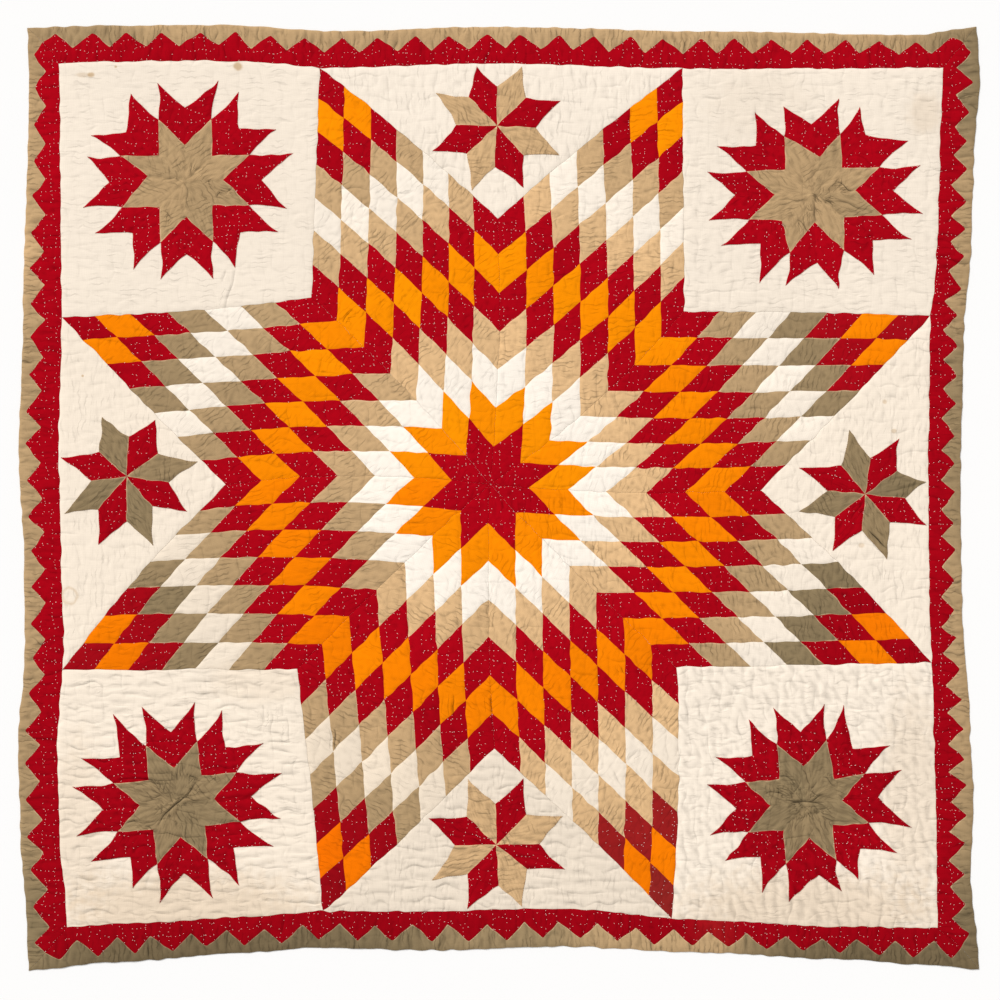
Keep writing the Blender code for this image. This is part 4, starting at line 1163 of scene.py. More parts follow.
def stained(add, place, colour):
    wobble = add("ShaderNodeTexNoise", {"Vector": place, "Scale": 60.0, "Detail": 3.0})
    for stain in stains:
        x, y = stain.x - middle[0], stain.y - middle[1]
        moved = add("ShaderNodeMapping", {
            "Vector": place, "Location": (-x / stain.across, -y / stain.high, 0.0),
            "Scale": (1.0 / stain.across, 1.0 / stain.high, 0.0)})
        apart = add("ShaderNodeVectorMath", {"operation": "LENGTH", 0: moved}, "Value")
        apart = add("ShaderNodeMath", {"operation": "MULTIPLY_ADD", 0: wobble, 1: 0.8, 2: apart})
        inner, middleRing, outer = (1.2, 1.55, 1.9) if stain.ring else (0.5, 0.9, 1.6)
        share = add("ShaderNodeMapRange", {
            "interpolation_type": "SMOOTHSTEP", "Value": apart, "From Min": outer, "From Max": middleRing,
            "To Min": 0.0, "To Max": stain.strength})
        if stain.ring:
            hollow = add("ShaderNodeMapRange", {"Value": apart, "From Min": inner, "From Max": middleRing})
            share = add("ShaderNodeMath", {"operation": "MULTIPLY", 0: share, 1: hollow})
        colour = add("ShaderNodeMix", {"data_type": "RGBA", 0: share, 6: colour, 7: hexColour(stainColour)}, 2)
    return colour


cottons = {cloth: cotton(cloth) for cloth in cottonLooks}
print("materials done")


# Cloth pieces. Each is a closed sheet: its fine top, its sides, and a plain underside.
sheetCut = {
    "crown": 0.0012,  # how far a patch stands up between its seams
    "seamWidth": 0.0050,
    "hemRound": 0.0010,
    "hemWidth": 0.0030,
    "starCloth": 0.0009,
    "starCrown": 0.0007,
    "foldedEdge": 0.0005,
    "foldedWidth": 0.0020,
    "underStar": 0.0006,  # how far a panel lies lower under its small star
    "coarseCell": 0.016,
    "clearOfRim": 0.0026,
    "rimRing": 0.0016,
}
clothOrder = ("red", "orange", "white", "khaki")


def heightAt(points):
    return quilt["seamHeight"] + sampled(relief, points)


def crownAt(fromSeam, height=sheetCut["crown"]):
    return height * (1.0 - np.exp(-fromSeam / sheetCut["seamWidth"]))


def drawnIn(loop, distance):
    # a loop running anticlockwise, moved inwards square to its edges
    edges = np.roll(loop, -1, axis=0) - loop
    edges /= np.maximum(np.hypot(edges[:, 0], edges[:, 1]), 1e-9)[:, None]
    inward = np.stack((-edges[:, 1], edges[:, 0]), axis=1)
    before = np.roll(inward, 1, axis=0)
    share = np.maximum(1.0 + np.einsum("ij,ij->i", inward, before), 0.3)
    return loop + (inward + before) / share[:, None] * distance


def turnedLeft(loop):
    # the loop in anticlockwise order
    following = np.roll(loop, -1, axis=0)
    area = np.sum(loop[:, 0] * following[:, 1] - following[:, 0] * loop[:, 1])
    return loop if area > 0.0 else loop[::-1]


def laid(points):
    # from the drawn layout to where the hand sewn cloth lies
    waver = np.stack((sampled(waverX, points), sampled(waverY, points)), axis=1)
    return points + waver - middle


def hexSpots(loop, cell):
    low, high = loop.min(axis=0), loop.max(axis=0)
    rows = np.arange(low[1], high[1], cell * math.sqrt(0.75))
    spots = []
    for index, y in enumerate(rows):
        along = np.arange(low[0] + (index % 2) * cell / 2, high[0], cell)
        spots.append(np.stack((along, np.full(len(along), y)), axis=1))
    return np.concatenate(spots)


def creaseValues(points):
    # where each point lies between the quilting lines and off its nearest fold, and how deep those are
    pitch = field["quiltingPitch"]
    rows = np.zeros((len(points), 3))
    rows[:, 0] = (points[:, 0] + sampled(wanderX, points)) / pitch
    rows[:, 1] = (points[:, 1] + sampled(wanderY, points)) / pitch
    depths = np.zeros((len(points), 3))
    for column, grid in ((0, uprightDepth), (1, levelDepth)):
        depths[:, column] = np.clip(sampled(grid, points) / field["deepLine"], 0.0, 1.0)
    nearest = np.full(len(points), 0.49 * pitch)
    for fold in folds:
        start, end = np.array([fold.x0, fold.y0]), np.array([fold.x1, fold.y1])
        run = end - start
        length = np.hypot(*run)
        along = (points - start) @ run / length ** 2
        across = (points - start) @ np.array([-run[1], run[0]]) / length
        across -= fold.bend * np.sin(2.0 * math.pi * np.clip(along, 0.0, 1.0))
        apart = np.hypot(across, np.maximum(0.0, np.abs(along - 0.5) - 0.5) * length)
        near = apart < np.abs(nearest)
        nearest[near] = np.where(across < 0.0, -apart, apart)[near]
        taper = np.sqrt(np.clip(np.sin(math.pi * np.clip(along, 0.0, 1.0)), 0.0, 1.0))
        depths[near, 2] = (taper * fold.depth / field["deepFold"])[near]
    rows[:, 2] = nearest / pitch
    return rows, np.clip(depths, 0.0, 2.0)


def clothPiece(name, top, z, faces, rim, faceCloths, facePatch, uv, under=None):
    # under holds a sewn-on star's own underside as points, heights and faces; else it is flat
    ringStart = len(top)
    places = laid(top)
    verts = np.column_stack((places, z))
    ring = np.column_stack((places[rim], np.zeros(len(rim))))
    count = len(rim)
    if under is not None:
        ring[:, 2] = under["rimHeights"]
    verts = np.concatenate((verts, ring))
    walls = [(rim[(step + 1) % count], rim[step], ringStart + step, ringStart + (step + 1) % count)
             for step in range(count)]
    bottoms = [tuple(range(ringStart + count - 1, ringStart - 1, -1))]
    if under is not None:
        inner = np.column_stack((laid(under["points"]), under["heights"]))
        verts = np.concatenate((verts, inner))
        bottoms = [tuple(ringStart + index for index in face[::-1]) for face in under["faces"]]
    owner = {}
    for index, face in enumerate(faces):
        for start, end in zip(face, face[1:] + face[:1]):
            owner[start, end] = index
    wallOwners = [owner[rim[step], rim[(step + 1) % count]] for step in range(count)]
    allFaces = faces + walls + bottoms
    mesh = bpy.data.meshes.new(name)
    mesh.from_pydata(verts.tolist(), [], allFaces)
    used = [cloth for cloth in clothOrder if cloth in set(faceCloths)]
    for cloth in used:
        mesh.materials.append(cottons[cloth])
    mesh.materials.append(cottons["back"])
    slots = [used.index(cloth) for cloth in faceCloths]
    slots += [slots[index] for index in wallOwners] + [len(used)] * len(bottoms)
    mesh.polygons.foreach_set("material_index", slots)
    shades = [facePatch[index] for index in range(len(faces))]
    shades += [facePatch[index] for index in wallOwners] + [facePatch[0]] * len(bottoms)
    patchShade = mesh.attributes.new("patchShade", "FLOAT_COLOR", "FACE")
    patchShade.data.foreach_set("color", np.array(shades, float).ravel())
    extra = len(verts) - len(top)
    # the groove mask, for the painted shade in the hollows
    depth = mesh.attributes.new("groove", "FLOAT", "POINT")
    depth.data.foreach_set("value", np.concatenate((sampled(groove, top), np.zeros(extra))))
    # how near the red lies, for the khaki's painted seam highlight
    near = mesh.attributes.new("nearRed", "FLOAT", "POINT")
    near.data.foreach_set("value", np.concatenate((sampled(redNearby, top), np.zeros(extra))))
    rows, depths = creaseValues(top)
    for label, values in (("quiltingRows", rows), ("creaseDepths", depths)):
        lines = mesh.attributes.new(label, "FLOAT_VECTOR", "POINT")
        lines.data.foreach_set("vector", np.concatenate((values, np.zeros((extra, 3)))).ravel())
    grain = mesh.uv_layers.new(name="grain")
    loopCount = sum(len(face) for face in allFaces)
    coordinates = np.zeros((loopCount, 2))
    flat = np.concatenate([np.asarray(face) for face in faces])
    coordinates[:len(flat)] = uv(flat)
    grain.data.foreach_set("uv", coordinates.ravel())
    mesh.shade_smooth()
    mesh.set_sharp_from_angle(angle=math.radians(55.0))
    mesh.validate()
    made = bpy.data.objects.new(name, mesh)
    bpy.context.scene.collection.objects.link(made)
    return made


def crowded(cells):
    # shares from 0 to 1 that lie closer together near both ends
    even = np.linspace(0.0, 1.0, cells + 1)
    return even - 0.11 * np.sin(2.0 * math.pi * even)


def patchGrid(patch):
    cells = quilt["diamondCells"]
    shares = crowded(cells)
    u, v = np.meshgrid(shares, shares, indexing="ij")
    a, b, c, d = [np.array((corner.x, corner.y)) for corner in patch.corners]
    u3, v3 = u[..., None], v[..., None]
    grid = a * (1 - u3) * (1 - v3) + b * u3 * (1 - v3) + c * u3 * v3 + d * (1 - u3) * v3
    centre = (a + b + c + d) / 4
    sides = ((a, b, u3, 1 - v3), (b, c, v3, u3), (c, d, 1 - u3, v3), (d, a, 1 - v3, 1 - u3))
    for (start, end, along, near), bow in zip(sides, patch.bows):
        run = end - start
        inward = np.array((-run[1], run[0])) / np.hypot(*run)
        if inward @ (centre - start) < 0:
            inward = -inward
        grid = grid + inward * bow * 4.0 * along * (1 - along) * near
    acrossAb = abs((b - a)[0] * (d - a)[1] - (b - a)[1] * (d - a)[0])
    tallAb, tallAd = acrossAb / np.hypot(*(b - a)), acrossAb / np.hypot(*(d - a))
    fromSeam = np.minimum(np.minimum(v, 1 - v) * tallAb, np.minimum(u, 1 - u) * tallAd)
    turn = math.radians(patch.turn)
    spin = np.array(((math.cos(turn), -math.sin(turn)), (math.sin(turn), math.cos(turn))))
    own = (grid - centre) @ spin + np.array((patch.corners[0].x * 7.0, patch.corners[0].y * 5.0))
    return grid.reshape(-1, 2), fromSeam.ravel(), own.reshape(-1, 2)


def rimOf(faces):
    directed = set()
    for face in faces:
        directed.update(zip(face, face[1:] + face[:1]))
    following = {start: end for start, end in directed if (end, start) not in directed}
    start = min(following)
    loop = [start]
    while following[loop[-1]] != start:
        loop.append(following[loop[-1]])
    return loop


def patchwork(patches):
    # all patches of one piece as shared points, faces and what each face and point needs
    side = quilt["diamondCells"] + 1
    grids = [patchGrid(patch) for patch in patches]
    points = np.concatenate([grid[0] for grid in grids])
    shared, sources = np.unique(np.round(points, 6), axis=0, return_inverse=True)
    sources = sources.ravel()
    fromSeam = np.full(len(shared), 9.0)
    np.minimum.at(fromSeam, sources, np.concatenate([grid[1] for grid in grids]))
    corner = (np.arange(side - 1)[:, None] * side + np.arange(side - 1)[None, :]).ravel()
    quad = np.stack((corner, corner + side, corner + side + 1, corner + 1), axis=1)
    faces, own, cloths, shades = [], [], [], []
    for index, (patch, grid) in enumerate(zip(patches, grids)):
        a, b, c = [patch.corners[place] for place in (0, 1, 2)]
        leftTurn = (b - a).cross(c - a) > 0
        order = quad if leftTurn else quad[:, ::-1]
        faces.append(sources[order + index * side * side])
        own.append(grid[2][order])
        cloths += [patch.cloth] * len(order)
        shades += [(patch.tone, patch.light, 0.0, 1.0)] * len(order)
    faces = [tuple(int(value) for value in face) for face in np.concatenate(faces)]
    own = np.concatenate(own).reshape(-1, 2)
    return shared, faces, fromSeam, own, cloths, shades


def wovenSheet(loops, spots):
    # triangles through the loops' points and the spots, with the loops kept as edges
    points, edges = [], []
    for loop in loops:
        start = len(points)
        points += [tuple(point) for point in loop]
        edges += [(start + step, start + (step + 1) % len(loop)) for step in range(len(loop))]
    points += [tuple(point) for point in spots]
    found = delaunay_2d_cdt([Vector(point) for point in points], edges, [], 1, 1e-7)
    places = np.array([(point.x, point.y) for point in found[0]])
    index = {source[0]: made for made, source in enumerate(found[3]) if source}
    faces = [tuple(face) for face in found[2]]
    return places, faces, [[index[step] for step in range(len(loops[0]))]], index


def starPointPiece(point):
    patches = starPatches[point.name]
    top, faces, fromSeam, own, cloths, shades = patchwork(patches)
    rim = rimOf(faces)
    z = heightAt(top) + crownAt(fromSeam)
    top[rim] = drawnIn(top[rim], quilt["gap"] / 2)
    return clothPiece("pieced_point_" + point.name, top, z, faces, rim, cloths, shades, lambda flat: own)


def plainSheet(outline, clear=(), inner=None):
    # spots on a plain panel or strip: fine ones, and coarse ones under a small star
    rim = turnedLeft(asArray(fineLine(outline)))
    loops = [rim]
    spots = hexSpots(rim, quilt["cell"])
    spots = spots[insideLoop(spots, rim)]
    spots = spots[distanceToLine(spots, rim) > sheetCut["clearOfRim"]]
    ring = drawnIn(rim, sheetCut["rimRing"])
    ring = ring[insideLoop(ring, rim)]
    ring = ring[distanceToLine(ring, rim) > 0.8 * sheetCut["rimRing"]]
    if inner is not None:
        loops.append(inner)
        off = ~insideLoop(spots, inner) & (distanceToLine(spots, inner) > sheetCut["clearOfRim"] * 0.7)
        spots = spots[off]
        coarse = hexSpots(inner, sheetCut["coarseCell"])
        coarse = coarse[insideLoop(coarse, inner)]
        coarse = coarse[distanceToLine(coarse, inner) > sheetCut["clearOfRim"]]
        spots = np.concatenate((spots, coarse))
    spots = np.concatenate((spots, ring))
    top, faces, rims, index = wovenSheet(loops, spots)
    return rim, top, faces, rims[0], index


def flatGrain(top, degrees, shift):
    turn = math.radians(degrees)
    spin = np.array(((math.cos(turn), -math.sin(turn)), (math.sin(turn), math.cos(turn))))
    own = top @ spin + shift
    return lambda flat: own[flat]


# how cream each plain white panel is, and how light
panelTones = {
    "nw": (0.50, 0.955), "ne": (0.48, 0.950), "sw": (0.62, 1.00), "se": (0.50, 0.985),
    "n": (0.42, 0.975), "e": (0.58, 0.985), "s": (0.72, 0.905), "w": (0.62, 0.985),
}


def panelAndStar(panelName, starName, outline, patches, degrees):
    starTop, starFaces, starSeam, starOwn, starCloths, starShades = patchwork(patches)
    starRim = rimOf(starFaces)
    starLoop = starTop[starRim]
    rim, top, faces, rimOrder, index = plainSheet(outline, inner=starLoop)
    fromRim = distanceToLine(top, rim)
    underStar = insideLoop(top, starLoop) & (distanceToLine(top, starLoop) > 0.001)
    z = heightAt(top) + crownAt(fromRim)
    z[underStar] = quilt["seamHeight"] + sheetCut["crown"] - sheetCut["underStar"]
    centres = np.array([top[list(face)].mean(axis=0) for face in faces])
    within = insideLoop(centres, starLoop)
    # the star's underside follows the panel below it, one gap above
    starPlace = {index[len(rim) + step]: step for step in range(len(starLoop))}
    innerPoints, innerHeights = [], []
    for vert in sorted({vert for face, under in zip(faces, within) if under for vert in face}):
        if vert not in starPlace:
            starPlace[vert] = len(starLoop) + len(innerPoints)
            innerPoints.append(top[vert])
            innerHeights.append(z[vert] + quilt["gap"])
    underFaces = [tuple(starPlace[vert] for vert in face) for face, under in zip(faces, within) if under]
    rimHeights = [z[index[len(rim) + step]] + quilt["gap"] for step in range(len(starLoop))]
    under = {
        "points": np.array(innerPoints), "heights": np.array(innerHeights),
        "faces": underFaces, "rimHeights": np.array(rimHeights),
    }
    fromEdge = distanceToLine(starTop, starLoop)
    fromEdge[starRim] = 0.0
    starZ = heightAt(starTop) + crownAt(distanceToLine(starTop, rim))
    starZ += quilt["gap"] + sheetCut["starCloth"] + crownAt(starSeam, sheetCut["starCrown"])
    starZ -= sheetCut["foldedEdge"] * np.exp(-fromEdge / sheetCut["foldedWidth"])
    star = clothPiece(starName, starTop, starZ, starFaces, starRim, starCloths, starShades,
                      lambda flat: starOwn, under)
    top[rimOrder] = drawnIn(top[rimOrder], quilt["gap"] / 2)
    tone, light = panelTones[panelName.rpartition("_")[2]]
    shade = [(tone, light, 0.0, 1.0)] * len(faces)
    panel = clothPiece(panelName, top, z, faces, rimOrder, ["white"] * len(faces), shade,
                       flatGrain(top, degrees, 0.3))
    return panel, star


def stripPiece(name, outline, cloth, side, hem):
    rim, top, faces, rimOrder, _ = plainSheet(outline)
    fromRim = distanceToLine(top, rim)
    z = heightAt(top) + crownAt(fromRim)
    if hem:
        fromHem = distanceToLine(top, asArray(hems[side]), closed=False)
        z -= sheetCut["hemRound"] * np.exp(-fromHem / sheetCut["hemWidth"])
        z -= (quilt["seamHeight"] - quilt["hemHeight"]) * np.exp(-fromHem / 0.02)
    top[rimOrder] = drawnIn(top[rimOrder], quilt["gap"] / 2)
    upright = side in ("left", "right")
    centres = np.array([top[list(face)].mean(axis=0) for face in faces])
    along = centres[:, 1] if upright else centres[:, 0]
    rows = hemTones[side] if cloth == "khaki" else redTones[side]
    tones = np.interp(along, [row.along for row in rows], [row.tone for row in rows])
    lights = np.interp(along, [row.along for row in rows], [row.light for row in rows])
    shade = [(tone, light, 0.0, 1.0) for tone, light in zip(tones, lights)]
    return clothPiece(name, top, z, faces, rimOrder, [cloth] * len(faces), shade,
                      flatGrain(top, 0.0 if upright else 90.0, 0.1))


# how far the khaki border has turned along each side, and how light it and the red one are
Faded = namedtuple("Faded", "along tone light")
hemTones = {
    "top": (
        Faded(-0.91, 0.72, 1.0), Faded(-0.80, 0.74, 1.0), Faded(-0.70, 0.48, 1.0), Faded(0.34, 0.43, 1.0),
        Faded(0.55, 0.52, 1.0), Faded(0.86, 0.55, 1.0), Faded(0.94, 0.85, 1.0),
    ),
    "right": (
        Faded(-0.97, 1.0, 0.76), Faded(-0.87, 1.0, 0.90), Faded(-0.76, 0.82, 1.04), Faded(-0.62, 0.66, 0.97),
        Faded(-0.45, 0.55, 1.0), Faded(-0.14, 0.66, 1.0), Faded(-0.03, 0.82, 1.0), Faded(0.28, 0.88, 1.0),
        Faded(0.38, 0.60, 1.0), Faded(0.65, 0.62, 1.0), Faded(0.78, 0.97, 1.0), Faded(0.95, 0.97, 1.0),
    ),
    "bottom": (
        Faded(-0.95, 1.0, 1.00), Faded(-0.82, 1.0, 0.69), Faded(-0.40, 1.0, 0.69), Faded(-0.18, 1.0, 0.94),
        Faded(-0.05, 0.90, 1.05), Faded(0.13, 0.90, 1.05), Faded(0.24, 0.55, 1.02), Faded(0.48, 0.48, 1.04),
        Faded(0.53, 0.90, 1.02), Faded(0.62, 1.0, 0.76), Faded(0.76, 1.0, 0.67), Faded(0.97, 1.0, 0.71),
    ),
    "left": (
        Faded(-0.97, 1.0, 1.08), Faded(-0.86, 1.0, 1.02), Faded(-0.76, 0.84, 1.10), Faded(-0.56, 0.64, 0.99),
        Faded(-0.30, 0.60, 1.0), Faded(0.07, 0.56, 1.0), Faded(0.28, 0.62, 1.0), Faded(0.40, 0.46, 1.0),
        Faded(0.49, 0.26, 1.05), Faded(0.59, 0.46, 1.0), Faded(0.82, 0.50, 1.0), Faded(0.91, 0.70, 1.0),
    ),
}
redTones = {
    "top": (Faded(-1.0, 0.0, 1.03), Faded(1.0, 0.0, 1.00)),
    "right": (Faded(-1.0, 0.0, 0.86), Faded(1.0, 0.0, 0.99)),
    "bottom": (Faded(-1.0, 0.0, 0.78), Faded(0.40, 0.0, 0.80), Faded(0.47, 0.35, 0.95), Faded(0.53, 0.0, 0.82)),
    "left": (Faded(-1.0, 0.0, 0.87), Faded(1.0, 0.0, 1.10)),
}


madePieces = {}


def declare(piece, node):
    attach(piece, "root")
    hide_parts(node)


def declareSheet(piece, node):
    declare(piece, node)


for point in starPoints:
    piece = starPointPiece(point)
    madePieces[piece.name] = (piece, "star_point_" + point.name, "pieced_star_cotton")
print("star points done")
for star in cornerStars:
    panel, sewn = panelAndStar("plain_square_" + star.name, "sewn_star_" + star.name,
                               squareOutlines[star.name], cornerStarPatches[star.name], 0.0)
    madePieces[panel.name] = (panel, "corner_square_" + star.name, "plain_white_cotton")
    madePieces[sewn.name] = (sewn, "corner_star_" + star.name, "small_star_cotton")
for star in sideStars:
    panel, sewn = panelAndStar("plain_triangle_" + star.name, "sewn_star_" + star.name,
                               triangleOutlines[star.name], sideStarPatches[star.name], 90.0)
    madePieces[panel.name] = (panel, "side_triangle_" + star.name, "plain_white_cotton")
    madePieces[sewn.name] = (sewn, "side_star_" + star.name, "small_star_cotton")
print("panels and small stars done")
for side in borderEdges:
    red = stripPiece("red_teeth_" + side, redOutlines[side], "red", side, False)
    khaki = stripPiece("khaki_hem_" + side, khakiOutlines[side], "khaki", side, True)
    madePieces[red.name] = (red, "toothed_border_" + side, "red_border_cotton")
    madePieces[khaki.name] = (khaki, "outer_border_" + side, "khaki_border_cotton")
print("borders done")
for piece, node, slotName in madePieces.values():
    declareSheet(piece, node)


# Hand stitches. Geometry Nodes lay one short thread at each step along the curves.
stitchCut = {
    "quiltingStep": 0.0084,
    "quiltingLength": 0.0031,
    "quiltingThick": 0.0015,  # the real thread is 0.4 mm; this is drawn coarser to show
    "quiltingShown": 0.60,
    "quiltingStray": 0.0009,
    "whipStep": 0.0048,
    "whipLength": 0.0026,
    "whipThick": 0.0009,
    "whipStray": 0.0003,
    "whipInset": 0.0007,
    "sunk": 0.0001,
    "sample": 0.003,
    "fewest": 4,  # samples in a run
    "reach": 0.94,
    "clothEdge": 0.0012,
}


def threadMaterial(name, first, second):
    material = bpy.data.materials.new(name)
    material.use_nodes = True
    material.node_tree.nodes.clear()
    add = functools.partial(addNode, material.node_tree)
    place = add("ShaderNodeTexCoord", {}, "Object")
    uneven = add("ShaderNodeTexNoise", {"Vector": place, "Scale": 90.0, "Detail": 2.0})
    colour = add("ShaderNodeMix", {
        "data_type": "RGBA", 0: uneven, 6: hexColour(first), 7: hexColour(second)}, 2)
    shader = add("ShaderNodeBsdfPrincipled", {
        "Base Color": colour, "Roughness": 0.8, "IOR": 1.45, "Specular IOR Level": 0.1})
    add("ShaderNodeOutputMaterial", {"Surface": shader})
    return material


def stitchTree():
    tree = bpy.data.node_groups.new("handStitches", "GeometryNodeTree")
    for name, kind in (
        ("Geometry", "NodeSocketGeometry"), ("Step", "NodeSocketFloat"), ("Length", "NodeSocketFloat"),
        ("Thickness", "NodeSocketFloat"), ("Share shown", "NodeSocketFloat"), ("Turn", "NodeSocketFloat"),
        ("Stray", "NodeSocketFloat"), ("Seed", "NodeSocketInt"), ("Thread", "NodeSocketMaterial"),
    ):
        tree.interface.new_socket(name=name, in_out="INPUT", socket_type=kind)
    tree.interface.new_socket(name="Geometry", in_out="OUTPUT", socket_type="NodeSocketGeometry")
    add = functools.partial(addNode, tree)
    entry = add("NodeGroupInput").node.outputs
    spots = add("GeometryNodeCurveToPoints", {
        "mode": "LENGTH", "Curve": entry["Geometry"], "Length": entry["Step"]}).node.outputs
    anyWay = add("FunctionNodeRandomValue", {
        "data_type": "FLOAT_VECTOR", "Min": (-1.0, -1.0, 0.0), "Max": (1.0, 1.0, 0.0), "Seed": entry["Seed"]})
    stray = add("ShaderNodeVectorMath", {"operation": "SCALE", 0: anyWay, "Scale": entry["Stray"]})
    moved = add("GeometryNodeSetPosition", {"Geometry": spots["Points"], "Offset": stray})
    askew = add("FunctionNodeRandomValue", {"data_type": "FLOAT", 2: -0.22, 3: 0.22, "Seed": entry["Seed"]}, 1)
    angle = add("ShaderNodeMath", {"operation": "ADD", 0: askew, 1: entry["Turn"]})
    along = add("ShaderNodeVectorRotate", {
        "rotation_type": "Z_AXIS", "Vector": spots["Tangent"], "Angle": angle})
    facing = add("FunctionNodeAlignRotationToVector", {"axis": "X", "Vector": along})
    uneven = add("FunctionNodeRandomValue", {"data_type": "FLOAT", 2: 0.65, 3: 1.15, "Seed": entry["Seed"]}, 1)
    length = add("ShaderNodeMath", {"operation": "MULTIPLY", 0: uneven, 1: entry["Length"]})
    height = add("ShaderNodeMath", {"operation": "MULTIPLY", 0: entry["Thickness"], 1: 0.7})
    size = add("ShaderNodeCombineXYZ", {"X": length, "Y": entry["Thickness"], "Z": height})
    shown = add("FunctionNodeRandomValue", {
        "data_type": "BOOLEAN", "Probability": entry["Share shown"], "Seed": entry["Seed"]}, 3)
    thread = add("GeometryNodeMeshUVSphere", {"Segments": 4, "Rings": 2, "Radius": 0.5})
    placed = add("GeometryNodeInstanceOnPoints", {
        "Points": moved, "Selection": shown, "Instance": thread, "Rotation": facing, "Scale": size})
    real = add("GeometryNodeRealizeInstances", {"Geometry": placed})
    painted = add("GeometryNodeSetMaterial", {"Geometry": real, "Material": entry["Thread"]})
    add("NodeGroupOutput", {"Geometry": painted})
    return tree


stitches = stitchTree()


def surfaceOfCloth():
    # the top of every piece as one tree to drop threads onto
    verts, faces = [], []
    for piece, _, _ in madePieces.values():
        start = len(verts)
        verts += [vert.co.copy() for vert in piece.data.vertices]
        faces += [tuple(start + index for index in face.vertices)
                  for face in piece.data.polygons if len(face.vertices) < 5]
    return BVHTree.FromPolygons(verts, faces)


def droppedOn(surface, points):
    dropped = []
    for x, y in laid(points):
        hit = surface.ray_cast(Vector((x, y, 0.05)), Vector((0.0, 0.0, -1.0)))[0]
        if hit is not None:
            dropped.append((x, y, hit.z - stitchCut["sunk"]))
    return dropped


def stitchedPiece(name, lines, cut, thread, seed):
    curve = bpy.data.curves.new(name + "_lines", "CURVE")
    curve.dimensions = "3D"
    for line in lines:
        spline = curve.splines.new("POLY")
        spline.points.add(len(line) - 1)
        spline.points.foreach_set("co", np.column_stack((line, np.ones(len(line)))).ravel())
    guide = bpy.data.objects.new(name + "_lines", curve)
    bpy.context.scene.collection.objects.link(guide)
    modifier = guide.modifiers.new("stitches", "NODES")
    modifier.node_group = stitches
    values = {**cut, "Seed": seed, "Thread": thread}
    for item in stitches.interface.items_tree:
        if item.in_out == "INPUT" and item.name in values:
            modifier[item.identifier] = values[item.name]
    graph = bpy.context.evaluated_depsgraph_get()
    mesh = bpy.data.meshes.new_from_object(guide.evaluated_get(graph), depsgraph=graph)
    mesh.name = name
    bpy.data.objects.remove(guide)
    made = bpy.data.objects.new(name, mesh)
    bpy.context.scene.collection.objects.link(made)
    print(name, len(mesh.polygons), "faces")
    return made


def quiltingRuns(upright, mask):
    # stretches of the quilting lines that lie on one cloth
    pitch, wander = field["quiltingPitch"], wanderX if upright else wanderY
    along = np.arange(-stitchCut["reach"] - 0.05, stitchCut["reach"] + 0.05, stitchCut["sample"])
    runs = []
    count = int(1.02 / pitch)
    for line in range(-count, count + 1):
        across = np.full(len(along), line * pitch)
        for _ in range(3):
            spots = np.column_stack((across, along) if upright else (along, across))
            across = line * pitch - sampled(wander, spots)
        spots = np.column_stack((across, along) if upright else (along, across))
        on = sampled(mask, spots) > 0.8
        start = None
        for step, shown in enumerate(list(on) + [False]):
            if shown and start is None:
                start = step
            elif not shown and start is not None:
                if step - start >= stitchCut["fewest"]:
                    runs.append(spots[start:step])
                start = None
    return runs


def whipLines():
    # just inside the turned edges of the small stars and of the teeth
    lines = []
    for patches in itertools.chain(cornerStarPatches.values(), sideStarPatches.values()):
        top, faces, *_ = patchwork(patches)
        loop = drawnIn(top[rimOf(faces)], stitchCut["whipInset"])
        lines.append(np.concatenate((loop, loop[:1])))
    for side in borderEdges:
        loop = asArray(redOutlines[side])
        inset = drawnIn(turnedLeft(loop), stitchCut["whipInset"])
        if turnedLeft(loop) is not loop:
            inset = inset[::-1]
        lines.append(inset[-len(teethRounded[side]) + 1: -1])
    return lines


surface = surfaceOfCloth()
paleThread = threadMaterial("cotton_thread_pale", "#f9e2da", "#ecc4ba")
darkThread = threadMaterial("cotton_thread_dark_red", "#5e0a12", "#7c1019")
redMask = softened((clothMap == clothNumbers["red"]).astype(float), stitchCut["clothEdge"])
quiltingCut = {
    "Step": stitchCut["quiltingStep"], "Length": stitchCut["quiltingLength"],
    "Thickness": stitchCut["quiltingThick"], "Share shown": stitchCut["quiltingShown"],
    "Turn": 0.0, "Stray": stitchCut["quiltingStray"],
}
whipCut = {
    "Step": stitchCut["whipStep"], "Length": stitchCut["whipLength"],
    "Thickness": stitchCut["whipThick"], "Share shown": 1.0,
    "Turn": math.pi / 2, "Stray": stitchCut["whipStray"],
}
stitched = []
for name, upright, seed in (("quilting_stitches_level", False, 3), ("quilting_stitches_upright", True, 4)):
    lines = [droppedOn(surface, run) for run in quiltingRuns(upright, redMask)]
    stitched.append(stitchedPiece(name, [line for line in lines if len(line) > 1], quiltingCut, paleThread, seed))
lines = [droppedOn(surface, line) for line in whipLines()]
stitched.append(stitchedPiece("edge_stitches", lines, whipCut, darkThread, 5))
for piece in stitched:
    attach(piece, "root")
print("stitches done")


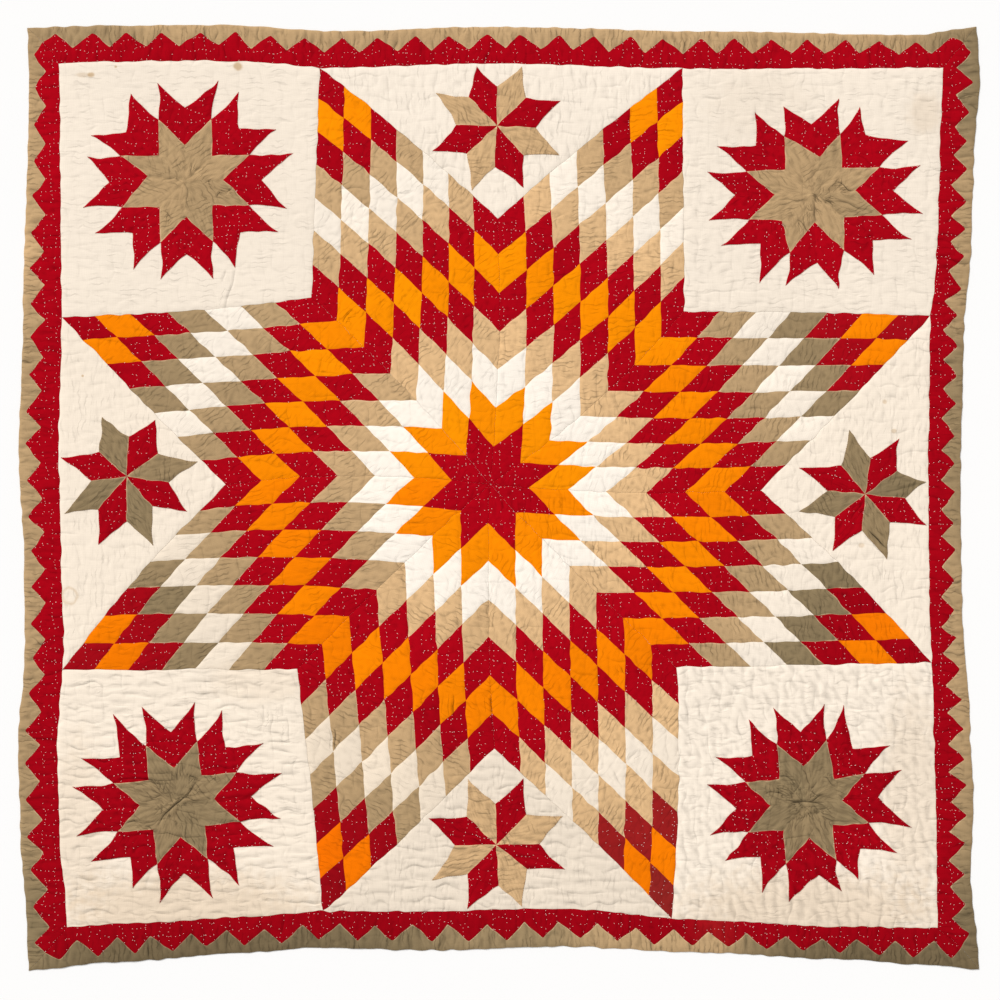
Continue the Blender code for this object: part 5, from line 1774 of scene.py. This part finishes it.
# Stage: a pale matte floor, soft light from all round and a low key light from the upper left
stage = {
    "floorSize": 14.0,
    "frameWidth": 2.088,  # metres across the picture at the quilt
    "frameCentre": (0.0188, -0.0230),  # from the star's middle
    "lens": 85.0,
    "sensor": 36.0,
    "worldStrength": 0.62,
    "keyStrength": 2.5,
    "keyElevation": 34.0,
    "keyAzimuth": 128.0,
    "keySoftness": 14.0,
}


def makeStage():
    mesh = bpy.data.meshes.new("floor")
    half = stage["floorSize"] / 2
    mesh.from_pydata([(-half, -half, 0.0), (half, -half, 0.0), (half, half, 0.0), (-half, half, 0.0)],
                     [], [(0, 1, 2, 3)])
    floor = bpy.data.objects.new("floor", mesh)
    floor.location.z = -0.0002
    bpy.context.scene.collection.objects.link(floor)
    paper = bpy.data.materials.new("paper_backdrop")
    paper.use_nodes = True
    tree = paper.node_tree
    shader = tree.nodes["Principled BSDF"]
    shader.inputs["Base Color"].default_value = hexColour("#f7f6f5")
    shader.inputs["Roughness"].default_value = 0.95
    shader.inputs["Specular IOR Level"].default_value = 0.1
    mesh.materials.append(paper)
    world = bpy.data.worlds.new("studio")
    bpy.context.scene.world = world
    world.use_nodes = True
    world.node_tree.nodes["Background"].inputs["Color"].default_value = (1.0, 1.0, 1.0, 1.0)
    world.node_tree.nodes["Background"].inputs["Strength"].default_value = stage["worldStrength"]
    lamp = bpy.data.lights.new("key", "SUN")
    lamp.energy = stage["keyStrength"]
    lamp.angle = math.radians(stage["keySoftness"])
    key = bpy.data.objects.new("key", lamp)
    bpy.context.scene.collection.objects.link(key)
    azimuth, elevation = math.radians(stage["keyAzimuth"]), math.radians(stage["keyElevation"])
    towards = Vector((math.cos(azimuth) * math.cos(elevation), math.sin(azimuth) * math.cos(elevation),
                      math.sin(elevation)))
    key.rotation_euler = towards.to_track_quat("Z", "Y").to_euler()
    bpy.context.scene.view_settings.view_transform = "Standard"
    camera = bpy.data.cameras.new("camera")
    camera.lens = stage["lens"]
    camera.sensor_width = stage["sensor"]
    view = bpy.data.objects.new("camera", camera)
    centre = np.array(stage["frameCentre"]) - middle
    above = stage["frameWidth"] * stage["lens"] / stage["sensor"]
    view.location = (centre[0], centre[1], above)
    bpy.context.scene.collection.objects.link(view)
    bpy.context.scene.camera = view


makeStage()
print("stage done")
